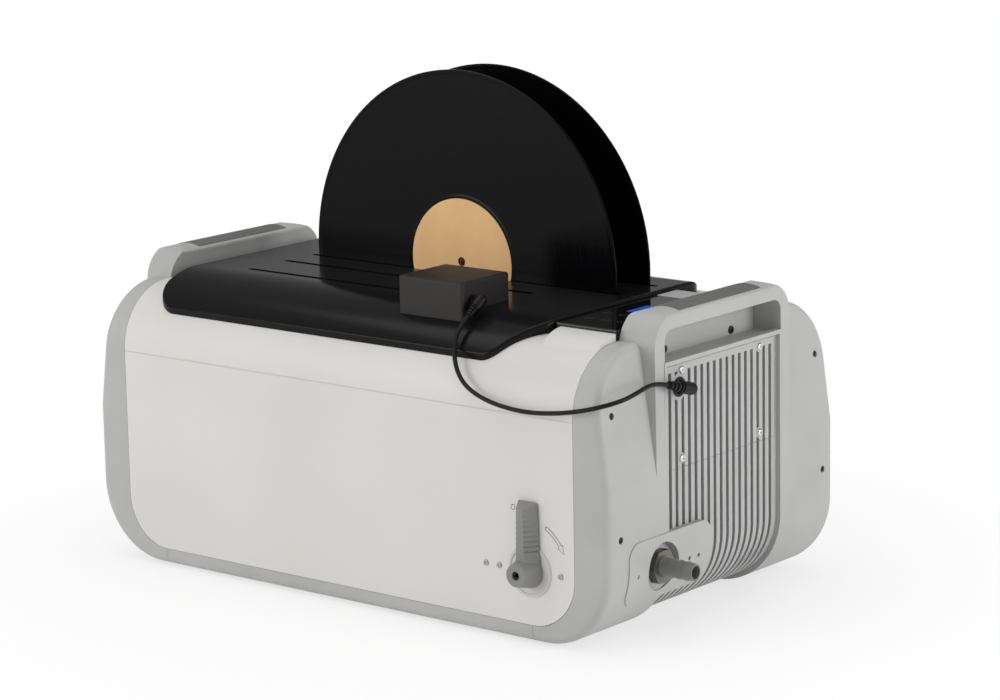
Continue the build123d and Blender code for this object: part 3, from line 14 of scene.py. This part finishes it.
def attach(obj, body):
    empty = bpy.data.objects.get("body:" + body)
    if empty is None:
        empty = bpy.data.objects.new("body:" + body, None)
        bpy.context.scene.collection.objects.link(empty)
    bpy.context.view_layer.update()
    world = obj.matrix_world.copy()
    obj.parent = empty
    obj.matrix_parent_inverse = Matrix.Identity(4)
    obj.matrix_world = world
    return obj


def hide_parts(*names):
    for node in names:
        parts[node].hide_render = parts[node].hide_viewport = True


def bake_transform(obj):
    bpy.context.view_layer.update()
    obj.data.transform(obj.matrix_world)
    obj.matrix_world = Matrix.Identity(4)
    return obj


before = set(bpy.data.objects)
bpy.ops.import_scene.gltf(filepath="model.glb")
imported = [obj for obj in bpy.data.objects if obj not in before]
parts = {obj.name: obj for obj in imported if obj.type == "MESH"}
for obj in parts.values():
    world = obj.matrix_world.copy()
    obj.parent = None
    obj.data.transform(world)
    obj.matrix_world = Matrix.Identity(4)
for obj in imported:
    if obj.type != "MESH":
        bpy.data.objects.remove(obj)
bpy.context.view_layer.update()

# %% [markdown]
# Every surface on this machine is a moulding, paint, rubber or metal. What they
# share is a fine grain that you feel more than see. The grain could be painted as a
# picture, but that would need unwrapped surfaces and a file. A noise texture, turned
# into a bump, makes it without either. It reads Object coordinates, which are real
# metres on the piece, so a grain of half a millimetre is the same size on a big
# panel and on a small screw, and it stays on the piece when it moves.

# %% An empty material to start from
MM = 0.001


def new_material(name):
    """An empty material with its shader, and the object coordinates to feed textures."""
    material = bpy.data.materials.new(name)
    material.use_nodes = True
    tree = material.node_tree
    shader = tree.nodes["Principled BSDF"]
    place = tree.nodes.new("ShaderNodeTexCoord")
    return material, tree, shader, place.outputs["Object"]


print("one millimetre in metres:", MM)

# %% Noise, and spreading it


def noise(tree, place, size, detail=3.0, stretch=None):
    """Noise whose blobs are about that many metres across; stretch scales each axis."""
    if stretch:
        mapping = tree.nodes.new("ShaderNodeMapping")
        mapping.inputs["Scale"].default_value = stretch
        tree.links.new(place, mapping.inputs["Vector"])
        place = mapping.outputs["Vector"]
    texture = tree.nodes.new("ShaderNodeTexNoise")
    texture.inputs["Scale"].default_value = 1.0 / size
    texture.inputs["Detail"].default_value = detail
    tree.links.new(place, texture.inputs["Vector"])
    return texture.outputs["Fac"]


def spread(tree, value, low, high):
    """Stretch a noise, which stays near one half, to run from low to high."""
    node = tree.nodes.new("ShaderNodeMapRange")
    node.inputs["From Min"].default_value = 0.3
    node.inputs["From Max"].default_value = 0.7
    node.inputs["To Min"].default_value = low
    node.inputs["To Max"].default_value = high
    tree.links.new(value, node.inputs["Value"])
    return node.outputs["Result"]


print("noise helpers ready")

# %% Bump and colour


def bump(tree, shader, height, depth, below=None):
    """Let a height in zero to one stand up by a depth in metres."""
    node = tree.nodes.new("ShaderNodeBump")
    node.inputs["Strength"].default_value = 1.0
    node.inputs["Distance"].default_value = depth
    tree.links.new(height, node.inputs["Height"])
    if below:
        tree.links.new(below, node.inputs["Normal"])
    tree.links.new(node.outputs["Normal"], shader.inputs["Normal"])
    return node.outputs["Normal"]


def two_tones(tree, shader, value, first, second):
    """Colour that drifts between two close tones."""
    mix = tree.nodes.new("ShaderNodeMix")
    mix.data_type = "RGBA"
    mix.inputs["A"].default_value = (*first, 1)
    mix.inputs["B"].default_value = (*second, 1)
    tree.links.new(value, mix.inputs["Factor"])
    tree.links.new(mix.outputs["Result"], shader.inputs["Base Color"])
    return mix.outputs["Result"]


print("bump and colour helpers ready")

# %% Dress named pieces


def wear(piece_names, material):
    """Put one material on named pieces."""
    for name in piece_names.split():
        mesh = parts[name].data
        mesh.materials.clear()
        mesh.materials.append(material)


print("dressing helper ready")

# %% [markdown]
# Mouldings. The end caps, lid, lever and small covers are injection moulded. The
# mould is spark-eroded to a fine leathery texture, which hides flow marks, so the
# plastic is neither glossy nor chalky. Each piece could have its own tree of nodes,
# but they differ in only a few numbers, so one recipe covers them all: tone,
# roughness, how coarse and how deep the texture is, and how much of the room it
# mirrors. Seen at a flat angle a textured black mirrors less than a polished one,
# so its gloss is lower.

# %% A recipe for moulded plastic
SLOW_DRIFT = 60 * MM


def moulded(name, colour, roughness, grain=0.55 * MM, depth=0.03 * MM, drift=0.05,
            gloss=0.5):
    material, tree, shader, place = new_material(name)
    shader.inputs["Specular IOR Level"].default_value = gloss
    slow = noise(tree, place, SLOW_DRIFT, 2.0)
    darker = tuple(c * (1 - drift) for c in colour)
    lighter = tuple(min(1.0, c * (1 + drift)) for c in colour)
    two_tones(tree, shader, spread(tree, slow, 0, 1), darker, lighter)
    fine = noise(tree, place, grain, 3.0)
    tree.links.new(spread(tree, fine, roughness - 0.05, roughness + 0.05),
                   shader.inputs["Roughness"])
    bump(tree, shader, fine, depth)
    return material


print("recipe for moulded plastic ready")

# %% The grey mouldings
cap_grey = moulded("cap grey moulding", (0.43, 0.43, 0.425), 0.46)
deck_grey = moulded("deck grey moulding", (0.41, 0.41, 0.405), 0.5)
plate_grey = moulded("drain plate moulding", (0.44, 0.44, 0.435), 0.5)
lever_grey = moulded("lever moulding", (0.23, 0.23, 0.228), 0.45, 0.8 * MM, 0.05 * MM)
tail_grey = moulded("hose tail moulding", (0.175, 0.175, 0.17), 0.42)
inlay_grey = moulded("grip strip", (0.17, 0.17, 0.166), 0.62, gloss=0.3)
escutcheon_grey = moulded("escutcheon moulding", (0.60, 0.585, 0.56), 0.45)
wear("right_end_cap left_end_cap right_louvre_cover left_louvre_cover base_pan", cap_grey)
wear("top_deck", deck_grey)
wear("drain_plate", plate_grey)
wear("lever_escutcheon", escutcheon_grey)
wear("drain_lever", lever_grey)
wear("hose_tail", tail_grey)
wear("right_handle_inlay left_handle_inlay", inlay_grey)
print("grey mouldings done")

# %% The black mouldings and the gears
lid_black = moulded("lid moulding", (0.008, 0.008, 0.009), 0.19, 0.7 * MM, 0.012 * MM,
                    gloss=0.11)
box_black = moulded("motor box moulding", (0.020, 0.018, 0.017), 0.45, 0.7 * MM, 0.05 * MM,
                    gloss=0.25)
part_black = moulded("small black moulding", (0.005, 0.005, 0.0053), 0.4, gloss=0.2)
gear_white = moulded("gear plastic", (0.74, 0.73, 0.68), 0.38)
wear("lid roller_carrier", lid_black)
wear("motor_box", box_black)
wear("motor_jack dc_jack power_inlet rocker_frame rocker_switch fan_frame fan_rotor "
     "motor_plug supply_plug", part_black)
wear("drive_wheel shaft_pulley", gear_white)
print("black mouldings and gears done")

# %% [markdown]
# Paint. The long front and rear panels are sprayed off-white. Sprayed paint has a
# very shallow orange peel, larger and softer than a mould's texture, and over it
# the matting grains. One noise can't be both soft and fine, so two bumps of
# different size follow each other, the fine one on top of the soft one.

# %% Off-white paint
PEEL = 2.5 * MM
MATTING = 0.4 * MM
paint, tree, shader, place = new_material("off-white paint")
two_tones(tree, shader, spread(tree, noise(tree, place, 150 * MM, 1.0), 0, 1),
          (0.655, 0.642, 0.612), (0.692, 0.680, 0.650))
peel = bump(tree, shader, noise(tree, place, PEEL, 1.0), 0.02 * MM)
fine = noise(tree, place, MATTING, 2.0)
bump(tree, shader, fine, 0.015 * MM, peel)
tree.links.new(spread(tree, fine, 0.38, 0.48), shader.inputs["Roughness"])
wear("front_panel rear_panel", paint)
print("paint done")

# %% [markdown]
# Metals. Turned and drawn metal keeps the marks of its tool, long in one direction
# and narrow in the other. The shader's own anisotropy could blur the highlight that
# way, but shows no single mark. Stretching the noise along one axis does, and it
# also varies the roughness. The colour is that of the bare metal and the shader is
# fully metallic.

# %% A recipe for metal


def metal(name, colour, roughness, stretch, depth=0.01 * MM, marks=0.5 * MM):
    material, tree, shader, place = new_material(name)
    shader.inputs["Metallic"].default_value = 1.0
    lines = noise(tree, place, marks, 2.0, stretch)
    darker = tuple(c * 0.9 for c in colour)
    two_tones(tree, shader, spread(tree, lines, 0, 1), darker, colour)
    tree.links.new(spread(tree, lines, roughness - 0.06, roughness + 0.08),
                   shader.inputs["Roughness"])
    bump(tree, shader, lines, depth)
    return material


print("recipe for metal ready")

# %% Tank, shafts, screws, nut, valve and motor
tank_steel = metal("drawn stainless sheet", (0.72, 0.72, 0.71), 0.34, (1, 1, 0.05),
                   0.003 * MM)
shaft_steel = metal("ground shaft steel", (0.62, 0.62, 0.62), 0.2, (1, 0.1, 1))
bright_plate = metal("bright plated screws", (0.78, 0.78, 0.77), 0.16, (1, 1, 1))
dull_plate = metal("dull plated screws", (0.42, 0.42, 0.42), 0.34, (1, 1, 1))
dark_plate = metal("blackened screws", (0.05, 0.05, 0.052), 0.4, (1, 1, 1))
nut_plate = metal("dull nut plating", (0.20, 0.196, 0.165), 0.45, (0.2, 1, 1), 0.02 * MM)
brass = metal("turned brass", (0.60, 0.45, 0.20), 0.3, (0.1, 1, 1))
can_metal = metal("plated can", (0.52, 0.52, 0.53), 0.35, (1, 0.1, 1))
wear("tank drain_pipe", tank_steel)
wear("drive_shaft idle_shaft motor_pinion", shaft_steel)
wear("cover_screws carrier_screws", bright_plate)
wear("panel_screws", dull_plate)
wear("cap_screws grip_screws box_screws lever_screw", dark_plate)
wear("tail_nut", nut_plate)
wear("valve_body valve_stem", brass)
wear("gear_motor transducers", can_metal)
print("metals done")

# %% [markdown]
# Rubber. The rollers are ground, the belt and feet are moulded and matt. Rubber
# scatters light in a rough skin, so it stays dark even under a strong lamp. The
# recipe for moulded plastic does for it too, with a higher roughness.

# %% Rubber
roller_rubber = moulded("ground roller rubber", (0.05, 0.05, 0.05), 0.7, 0.4 * MM, 0.04 * MM)
foot_rubber = moulded("foot rubber", (0.02, 0.02, 0.02), 0.75, 0.6 * MM, 0.04 * MM)
lead_rubber = moulded("lead jacket", (0.005, 0.005, 0.005), 0.42, 0.5 * MM, 0.02 * MM,
                      gloss=0.2)
wear("drive_rollers idle_rollers ten_inch_roller seven_inch_roller", roller_rubber)
wear("feet drive_belt", foot_rubber)
print("rubber done")

# %% [markdown]
# Records. A pressed disc is glossy vinyl with a groove so fine that the eye only
# sees a sheen with rings in it. Rings cut into the mesh would need millions of
# faces, so the material makes them: the distance from the disc's axis drives a
# fine wave, which stands for the groove, and a noise along the same distance makes
# the calmer and rougher bands of a real side.

# %% Distance from the records' axis
RECORD_Z = 0.2427


def ring_distance(tree, place):
    """Distance from the records' axis, which runs along Y at the records' height."""
    split = tree.nodes.new("ShaderNodeSeparateXYZ")
    tree.links.new(place, split.inputs["Vector"])
    up = tree.nodes.new("ShaderNodeMath")
    up.operation = "SUBTRACT"
    up.inputs[1].default_value = RECORD_Z
    tree.links.new(split.outputs["Z"], up.inputs[0])
    flat = tree.nodes.new("ShaderNodeCombineXYZ")
    tree.links.new(split.outputs["X"], flat.inputs["X"])
    tree.links.new(up.outputs["Value"], flat.inputs["Y"])
    length = tree.nodes.new("ShaderNodeVectorMath")
    length.operation = "LENGTH"
    tree.links.new(flat.outputs["Vector"], length.inputs[0])
    return length.outputs["Value"]


print("records' axis at height", RECORD_Z)

# %% Pressed vinyl
GROOVE_PITCH = 0.9 * MM
BANDS_PER_METRE = 450


def vinyl_material():
    material, tree, shader, place = new_material("pressed vinyl")
    distance = ring_distance(tree, place)
    shader.inputs["Base Color"].default_value = (0.0025, 0.0025, 0.0033, 1)
    shader.inputs["Specular IOR Level"].default_value = 0.09
    rings = tree.nodes.new("ShaderNodeTexNoise")
    rings.noise_dimensions = "1D"
    rings.inputs["Scale"].default_value = BANDS_PER_METRE
    rings.inputs["Detail"].default_value = 4
    tree.links.new(distance, rings.inputs["W"])
    groove = tree.nodes.new("ShaderNodeMath")
    groove.operation = "SINE"
    turn = tree.nodes.new("ShaderNodeMath")
    turn.operation = "MULTIPLY"
    turn.inputs[1].default_value = 2 * pi / GROOVE_PITCH
    tree.links.new(distance, turn.inputs[0])
    tree.links.new(turn.outputs["Value"], groove.inputs[0])
    low = bump(tree, shader, groove.outputs["Value"], 0.002 * MM)
    bump(tree, shader, rings.outputs["Fac"], 0.015 * MM, low)
    tree.links.new(spread(tree, rings.outputs["Fac"], 0.16, 0.24), shader.inputs["Roughness"])
    return material


vinyl = vinyl_material()
wear("record_front record_rear", vinyl)
print("records done")

# %% [markdown]
# Labels. A paper disc is pressed into the middle of each side. The paper is plain
# tan. It is a little uneven in tone and has a faint fibre. A woven pattern would be
# too regular for paper, so two noises do it: a slow one for the tone and a fine one
# for the fibre.

# %% Paper labels
label_paper, tree, shader, place = new_material("label paper")
shader.inputs["Specular IOR Level"].default_value = 0.3
two_tones(tree, shader, spread(tree, noise(tree, place, 25 * MM, 2.0), 0, 1),
          (0.86, 0.52, 0.235), (0.92, 0.575, 0.27))
fibre = noise(tree, place, 0.8 * MM, 4.0)
bump(tree, shader, fibre, 0.02 * MM)
tree.links.new(spread(tree, fibre, 0.5, 0.62), shader.inputs["Roughness"])
wear("label_front label_rear", label_paper)
print("labels done")

# %% [markdown]
# The control panel is a polished black plate with a film over it, and a small
# display behind it glows faintly blue. A perfectly smooth shader would look like a
# mirror, but a polished plate is never perfect: a very shallow, wide ripple keeps
# its reflections alive. The display's cells come from a brick texture, which draws
# a grid without a picture, and they send out a little light of their own.

# %% Polished panel
panel_black, tree, shader, place = new_material("polished black panel")
shader.inputs["Base Color"].default_value = (0.006, 0.006, 0.0065, 1)
shader.inputs["Specular IOR Level"].default_value = 0.4
wide = noise(tree, place, 12 * MM, 1.0)
bump(tree, shader, wide, 0.02 * MM)
tree.links.new(spread(tree, noise(tree, place, 3 * MM), 0.06, 0.13), shader.inputs["Roughness"])
wear("control_panel", panel_black)
print("panel done")

# %% Display and circuit board
CELL = 4 * MM
window_blue, tree, shader, place = new_material("display window")
cells = tree.nodes.new("ShaderNodeTexBrick")
cells.inputs["Scale"].default_value = 1 / CELL
cells.inputs["Color1"].default_value = (0.015, 0.05, 0.30, 1)
cells.inputs["Color2"].default_value = (0.02, 0.07, 0.36, 1)
cells.inputs["Mortar"].default_value = (0.008, 0.02, 0.12, 1)
tree.links.new(place, cells.inputs["Vector"])
tree.links.new(cells.outputs["Color"], shader.inputs["Base Color"])
tree.links.new(cells.outputs["Color"], shader.inputs["Emission Color"])
shader.inputs["Emission Strength"].default_value = 0.9
tree.links.new(spread(tree, noise(tree, place, 2 * MM), 0.08, 0.16), shader.inputs["Roughness"])
wear("display_window", window_blue)

board_green = moulded("circuit board", (0.02, 0.12, 0.05), 0.4, 1.5 * MM, 0.05 * MM, 0.3)
wear("generator_board", board_green)
print("window and board done")

# %% [markdown]
# The lead. It is one smooth line from the socket on the motor box to the socket on
# the right side. A chain of cylinders would show its joints, so a curve is the
# natural tool: a NURBS line gets a round bevel of the lead's radius. The lid lifts
# off while the socket on the side stays; the finished tube is turned into a mesh.
# A second curve without thickness is also built as a bare line, and removed again.

# %% The lead's route, in millimetres
LEAD_RADIUS = 1.7 * MM
lead_route = [
    (105.2, -115.0, 230.5), (105.2, -122.0, 226.0), (107.5, -132.5, 218.5),
    (112.5, -140.5, 208.5), (119.5, -146.5, 198.0), (130.0, -150.5, 188.5),
    (146.0, -152.0, 181.5), (167.0, -152.0, 177.0), (191.0, -152.0, 175.8),
    (216.0, -152.0, 178.5), (238.0, -151.5, 183.0), (254.0, -147.5, 187.5),
    (263.5, -136.0, 191.0), (265.0, -121.0, 194.0), (263.0, -106.0, 195.8),
    (262.0, -92.0, 195.27), (262.0, -80.0, 192.0),
]
print("points on the lead's route:", len(lead_route))

# %% Curve and mesh helpers


def lead_curve(name, radius):
    """A NURBS line through the route, in metres, with a round section."""
    curve = bpy.data.curves.new(name, "CURVE")
    curve.dimensions = "3D"
    curve.resolution_u = 12
    curve.bevel_depth = radius
    curve.bevel_resolution = 6
    curve.use_fill_caps = radius > 0
    spline = curve.splines.new("NURBS")
    spline.points.add(len(lead_route) - 1)
    for point, (x, y, z) in zip(spline.points, lead_route):
        point.co = (x * MM, y * MM, z * MM, 1)
    spline.order_u = 3
    spline.use_endpoint_u = True
    piece = bpy.data.objects.new(name, curve)
    bpy.context.collection.objects.link(piece)
    return piece


def as_mesh(piece):
    """Turn a curve object into a mesh object of the same name."""
    bpy.context.view_layer.update()
    name = piece.name
    seen = piece.evaluated_get(bpy.context.evaluated_depsgraph_get())
    mesh = bpy.data.meshes.new_from_object(seen)
    bpy.data.objects.remove(piece)
    made = bpy.data.objects.new(name, mesh)
    bpy.context.collection.objects.link(made)
    return made


print("curve helpers ready")

# %% The lead between the two plugs
line_only = as_mesh(lead_curve("lead_line", 0.0))
bpy.data.objects.remove(line_only)
lead = as_mesh(lead_curve("lead", LEAD_RADIUS))
lead.data.materials.append(lead_rubber)
for polygon in lead.data.polygons:
    polygon.use_smooth = True
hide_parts("cord")
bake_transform(lead)

# %% [markdown]
# Printed marks. Beside the lever the panel carries a small ring at the closed end
# of its travel and a bent arrow that shows which way it opens; the touch panel has
# faint rings for its keys. They could be drawn in the panel's material, but fine
# lines are sharper and simpler as geometry. Ink has no thickness worth modelling,
# so each mark is a thin flat ribbon that stands a few hundredths of a millimetre
# off the surface.

# %% Inks and a ribbon helper
mark_ink = moulded("printing ink", (0.09, 0.09, 0.09), 0.5)
pale_ink = moulded("pale printing ink", (0.07, 0.075, 0.08), 0.4)
INK_LIFT = 0.06 * MM


def ribbon(name, paths, width, lay_down, ink, body):
    """Flat strips of one width along 2-D paths; lay_down places a 2-D point in space."""
    corners, faces = [], []
    for path in paths:
        start = len(corners)
        closed = path[0] == path[-1]
        for k, (x, y) in enumerate(path):
            before = path[k - 1] if k else path[-2] if closed else path[0]
            after = path[k + 1] if k + 1 < len(path) else path[1] if closed else path[-1]
            dx, dy = after[0] - before[0], after[1] - before[1]
            length = hypot(dx, dy) or 1.0
            ox, oy = -dy / length * width / 2, dx / length * width / 2
            corners += [lay_down(x + ox, y + oy), lay_down(x - ox, y - oy)]
        for k in range(len(path) - 1):
            a = start + 2 * k
            faces.append((a, a + 1, a + 3, a + 2))
    mesh = bpy.data.meshes.new(name)
    mesh.from_pydata(corners, [], faces)
    mesh.materials.append(ink)
    piece = bpy.data.objects.new(name, mesh)
    bpy.context.collection.objects.link(piece)
    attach(piece, body)
    return piece


print("ribbon helper ready")

# %% Arcs and rings


def arc(centre, radius, start, end, steps=32):
    """Points along a circle, in degrees from the first axis."""
    angles = [radians(start + (end - start) * k / steps) for k in range(steps + 1)]
    return [(centre[0] + radius * cos(a), centre[1] + radius * sin(a)) for a in angles]


def ring_path(centre, radius):
    path = arc(centre, radius, 0, 360, 40)
    path[-1] = path[0]
    return path


print("points in a ring:", len(ring_path((0, 0), 1)))

# %% Marks beside the lever
ARROW_CENTRE = (181.8 * MM, 57.7 * MM)
ARROW_INNER, ARROW_OUTER = 35.6 * MM, 38.0 * MM
ARROW_TAIL, ARROW_HEAD, ARROW_TIP = 62, 34, 24
HEAD_EXTRA = 1.6 * MM
PANEL_Y = -145 * MM


def on_panel(x, z):
    return (x, PANEL_Y - INK_LIFT, z)


def on_arrow(radius, degrees):
    return arc(ARROW_CENTRE, radius, degrees, degrees, 1)[0]


head = [on_arrow(ARROW_INNER - HEAD_EXTRA, ARROW_HEAD),
        on_arrow((ARROW_INNER + ARROW_OUTER) / 2, ARROW_TIP),
        on_arrow(ARROW_OUTER + HEAD_EXTRA, ARROW_HEAD)]
arrow = (arc(ARROW_CENTRE, ARROW_INNER, ARROW_TAIL, ARROW_HEAD) + head
         + arc(ARROW_CENTRE, ARROW_OUTER, ARROW_HEAD, ARROW_TAIL))
arrow.append(arrow[0])
closed_ring = ring_path((169.2 * MM, 101.5 * MM), 1.9 * MM)
ribbon("lever_marks", [arrow, closed_ring], 0.55 * MM, on_panel, mark_ink,
       "housing")
print("lever marks done")

# %% Marks on the touch panel
TOUCH_Z = 230 * MM
KEY_X, KEY_Y = (181, 196, 211), (-66, -44)
KEY_RADIUS, BAR_HALF = 3.4 * MM, 1.5 * MM


def on_touch_panel(x, y):
    return (x, y, TOUCH_Z + INK_LIFT)


key_places = [(x * MM, y * MM) for x in KEY_X for y in KEY_Y]
keys = [ring_path(spot, KEY_RADIUS) for spot in key_places]
bars = [[(x - BAR_HALF, y), (x + BAR_HALF, y)] for x, y in key_places]
ribbon("touch_marks", keys + bars, 0.35 * MM, on_touch_panel, pale_ink,
       "housing")
print("touch panel marks done:", len(key_places), "keys")

# %% [markdown]
# The surround. A white background could be made with stronger lamps, but they would
# bleach the machine too. So the light path decides: rays from the camera, from
# reflections and through clear pieces see plain white near the horizon, while the
# light that falls on the machine stays at a plain level. Higher up the room is
# darker, as a real one is, so that black mouldings mirror something dark.

# %% Which rays see the background


def camera_white(tree):
    """One for rays that the camera, a reflection or a clear piece sends, else zero."""
    path = tree.nodes.new("ShaderNodeLightPath")
    seen = tree.nodes.new("ShaderNodeMath")
    seen.operation = "MAXIMUM"
    tree.links.new(path.outputs["Is Camera Ray"], seen.inputs[0])
    tree.links.new(path.outputs["Is Glossy Ray"], seen.inputs[1])
    both = tree.nodes.new("ShaderNodeMath")
    both.operation = "MAXIMUM"
    tree.links.new(seen.outputs["Value"], both.inputs[0])
    tree.links.new(path.outputs["Is Transmission Ray"], both.inputs[1])
    return both.outputs["Value"]


print("background switch ready")

# %% Surround
world = bpy.data.worlds.new("studio surround")
bpy.context.scene.world = world
world.use_nodes = True
tree = world.node_tree
soft = tree.nodes["Background"]
soft.inputs["Color"].default_value = (1, 1, 1, 1)
soft.inputs["Strength"].default_value = 0.42
white = tree.nodes.new("ShaderNodeBackground")
white.inputs["Color"].default_value = (1, 1, 1, 1)
toward = tree.nodes.new("ShaderNodeTexCoord")
height = tree.nodes.new("ShaderNodeSeparateXYZ")
tree.links.new(toward.outputs["Generated"], height.inputs["Vector"])
dim = tree.nodes.new("ShaderNodeMapRange")
dim.inputs["From Min"].default_value = 0.02
dim.inputs["From Max"].default_value = 0.14
dim.inputs["To Min"].default_value = 1.0
dim.inputs["To Max"].default_value = 0.3
tree.links.new(height.outputs["Z"], dim.inputs["Value"])
tree.links.new(dim.outputs["Result"], white.inputs["Strength"])
pick = tree.nodes.new("ShaderNodeMixShader")
tree.links.new(camera_white(tree), pick.inputs["Fac"])
tree.links.new(soft.outputs["Background"], pick.inputs[1])
tree.links.new(white.outputs["Background"], pick.inputs[2])
tree.links.new(pick.outputs["Shader"], tree.nodes["World Output"].inputs["Surface"])
print("surround done")

# %% [markdown]
# The floor. The machine stands on a pale matt floor that catches its shadow. A
# plain emitting floor would be evenly white but lose that shadow. So the floor is
# painted, and a white glow is mixed in for the same rays as above: less of it close
# to the machine, where the shadow lies, and all of it further out.

# %% Floor
GLOW_STARTS, GLOW_FULL, GLOW_LEAST = 0.24, 0.48, 0.68
bpy.ops.mesh.primitive_plane_add(size=12, location=(0, 0, 0))
floor = bpy.context.object
floor.name = "floor"
floor_paint, tree, shader, place = new_material("floor")
shader.inputs["Base Color"].default_value = (0.96, 0.96, 0.96, 1)
tree.links.new(spread(tree, noise(tree, place, 20 * MM), 0.75, 0.85), shader.inputs["Roughness"])
far = tree.nodes.new("ShaderNodeVectorMath")
far.operation = "LENGTH"
tree.links.new(place, far.inputs[0])
fade = tree.nodes.new("ShaderNodeMapRange")
fade.inputs["From Min"].default_value = GLOW_STARTS
fade.inputs["From Max"].default_value = GLOW_FULL
fade.inputs["To Min"].default_value = GLOW_LEAST
tree.links.new(far.outputs["Value"], fade.inputs["Value"])
share = tree.nodes.new("ShaderNodeMath")
share.operation = "MULTIPLY"
tree.links.new(camera_white(tree), share.inputs[0])
tree.links.new(fade.outputs["Result"], share.inputs[1])
glow = tree.nodes.new("ShaderNodeEmission")
glow.inputs["Strength"].default_value = 1.0
blend_far = tree.nodes.new("ShaderNodeMixShader")
tree.links.new(share.outputs["Value"], blend_far.inputs["Fac"])
tree.links.new(shader.outputs["BSDF"], blend_far.inputs[1])
tree.links.new(glow.outputs["Emission"], blend_far.inputs[2])
tree.links.new(blend_far.outputs["Shader"], tree.nodes["Material Output"].inputs["Surface"])
floor.data.materials.append(floor_paint)
print("floor done")

# %% [markdown]
# The lamps. Small lamps or a sun would draw hard edges on the big rounded corners.
# Three wide area lamps wrap round them and leave soft shadows: one overhead, the
# main one at the front left, and one low on the right, which lights the louvres and
# reaches into the finger pocket.

# %% Lamps


def soft_lamp(name, place, aim, size, power):
    """A square area lamp that looks at a point."""
    lamp = bpy.data.lights.new(name, "AREA")
    lamp.size = size
    lamp.energy = power
    piece = bpy.data.objects.new(name, lamp)
    piece.location = place
    piece.rotation_euler = (Vector(aim) - Vector(place)).to_track_quat("-Z", "Y").to_euler()
    bpy.context.collection.objects.link(piece)
    return piece


soft_lamp("overhead lamp", (-0.3, -0.2, 2.2), (0, 0, 0.1), 2.0, 18)
soft_lamp("front lamp", (-1.2, -2.3, 0.9), (0, 0, 0.12), 1.4, 23.5)
soft_lamp("side lamp", (2.2, 0.35, 0.6), (0.2, 0, 0.12), 1.2, 22)
print("lamps done")

# %% [markdown]
# The camera stands to the front right, a little above, with a long lens. It could
# be aimed by eye, but its place, tilt and lens were worked out from the photo's
# straight edges and the round records, so a render can be laid over the photo. The
# lens is given in pixels of the picture's width and turned into millimetres.

# %% Camera
AZIMUTH, ELEVATION, ROLL = radians(39.089), radians(11.858), radians(-1.0555)
CAMERA_PLACE = Vector((1.67508, -2.01041, 0.72175))
LENS_PIXELS, PICTURE_WIDTH, SENSOR = 3397.156, 1000, 36
back = Vector((sin(AZIMUTH) * cos(ELEVATION), -cos(AZIMUTH) * cos(ELEVATION), sin(ELEVATION)))
flat_right = Vector((cos(AZIMUTH), sin(AZIMUTH), 0))
flat_up = back.cross(flat_right)
right = cos(ROLL) * flat_right + sin(ROLL) * flat_up
up = -sin(ROLL) * flat_right + cos(ROLL) * flat_up
lens = bpy.data.cameras.new("camera")
lens.sensor_width = SENSOR
lens.lens = LENS_PIXELS * SENSOR / PICTURE_WIDTH
lens.clip_end = 50
camera = bpy.data.objects.new("camera", lens)
bpy.context.collection.objects.link(camera)
place_matrix = Matrix((right, up, back)).transposed().to_4x4()
place_matrix.translation = CAMERA_PLACE
camera.matrix_world = place_matrix
bpy.context.scene.camera = camera
bpy.context.scene.view_settings.view_transform = "Standard"
print("camera at", tuple(round(v, 3) for v in place_matrix.translation))
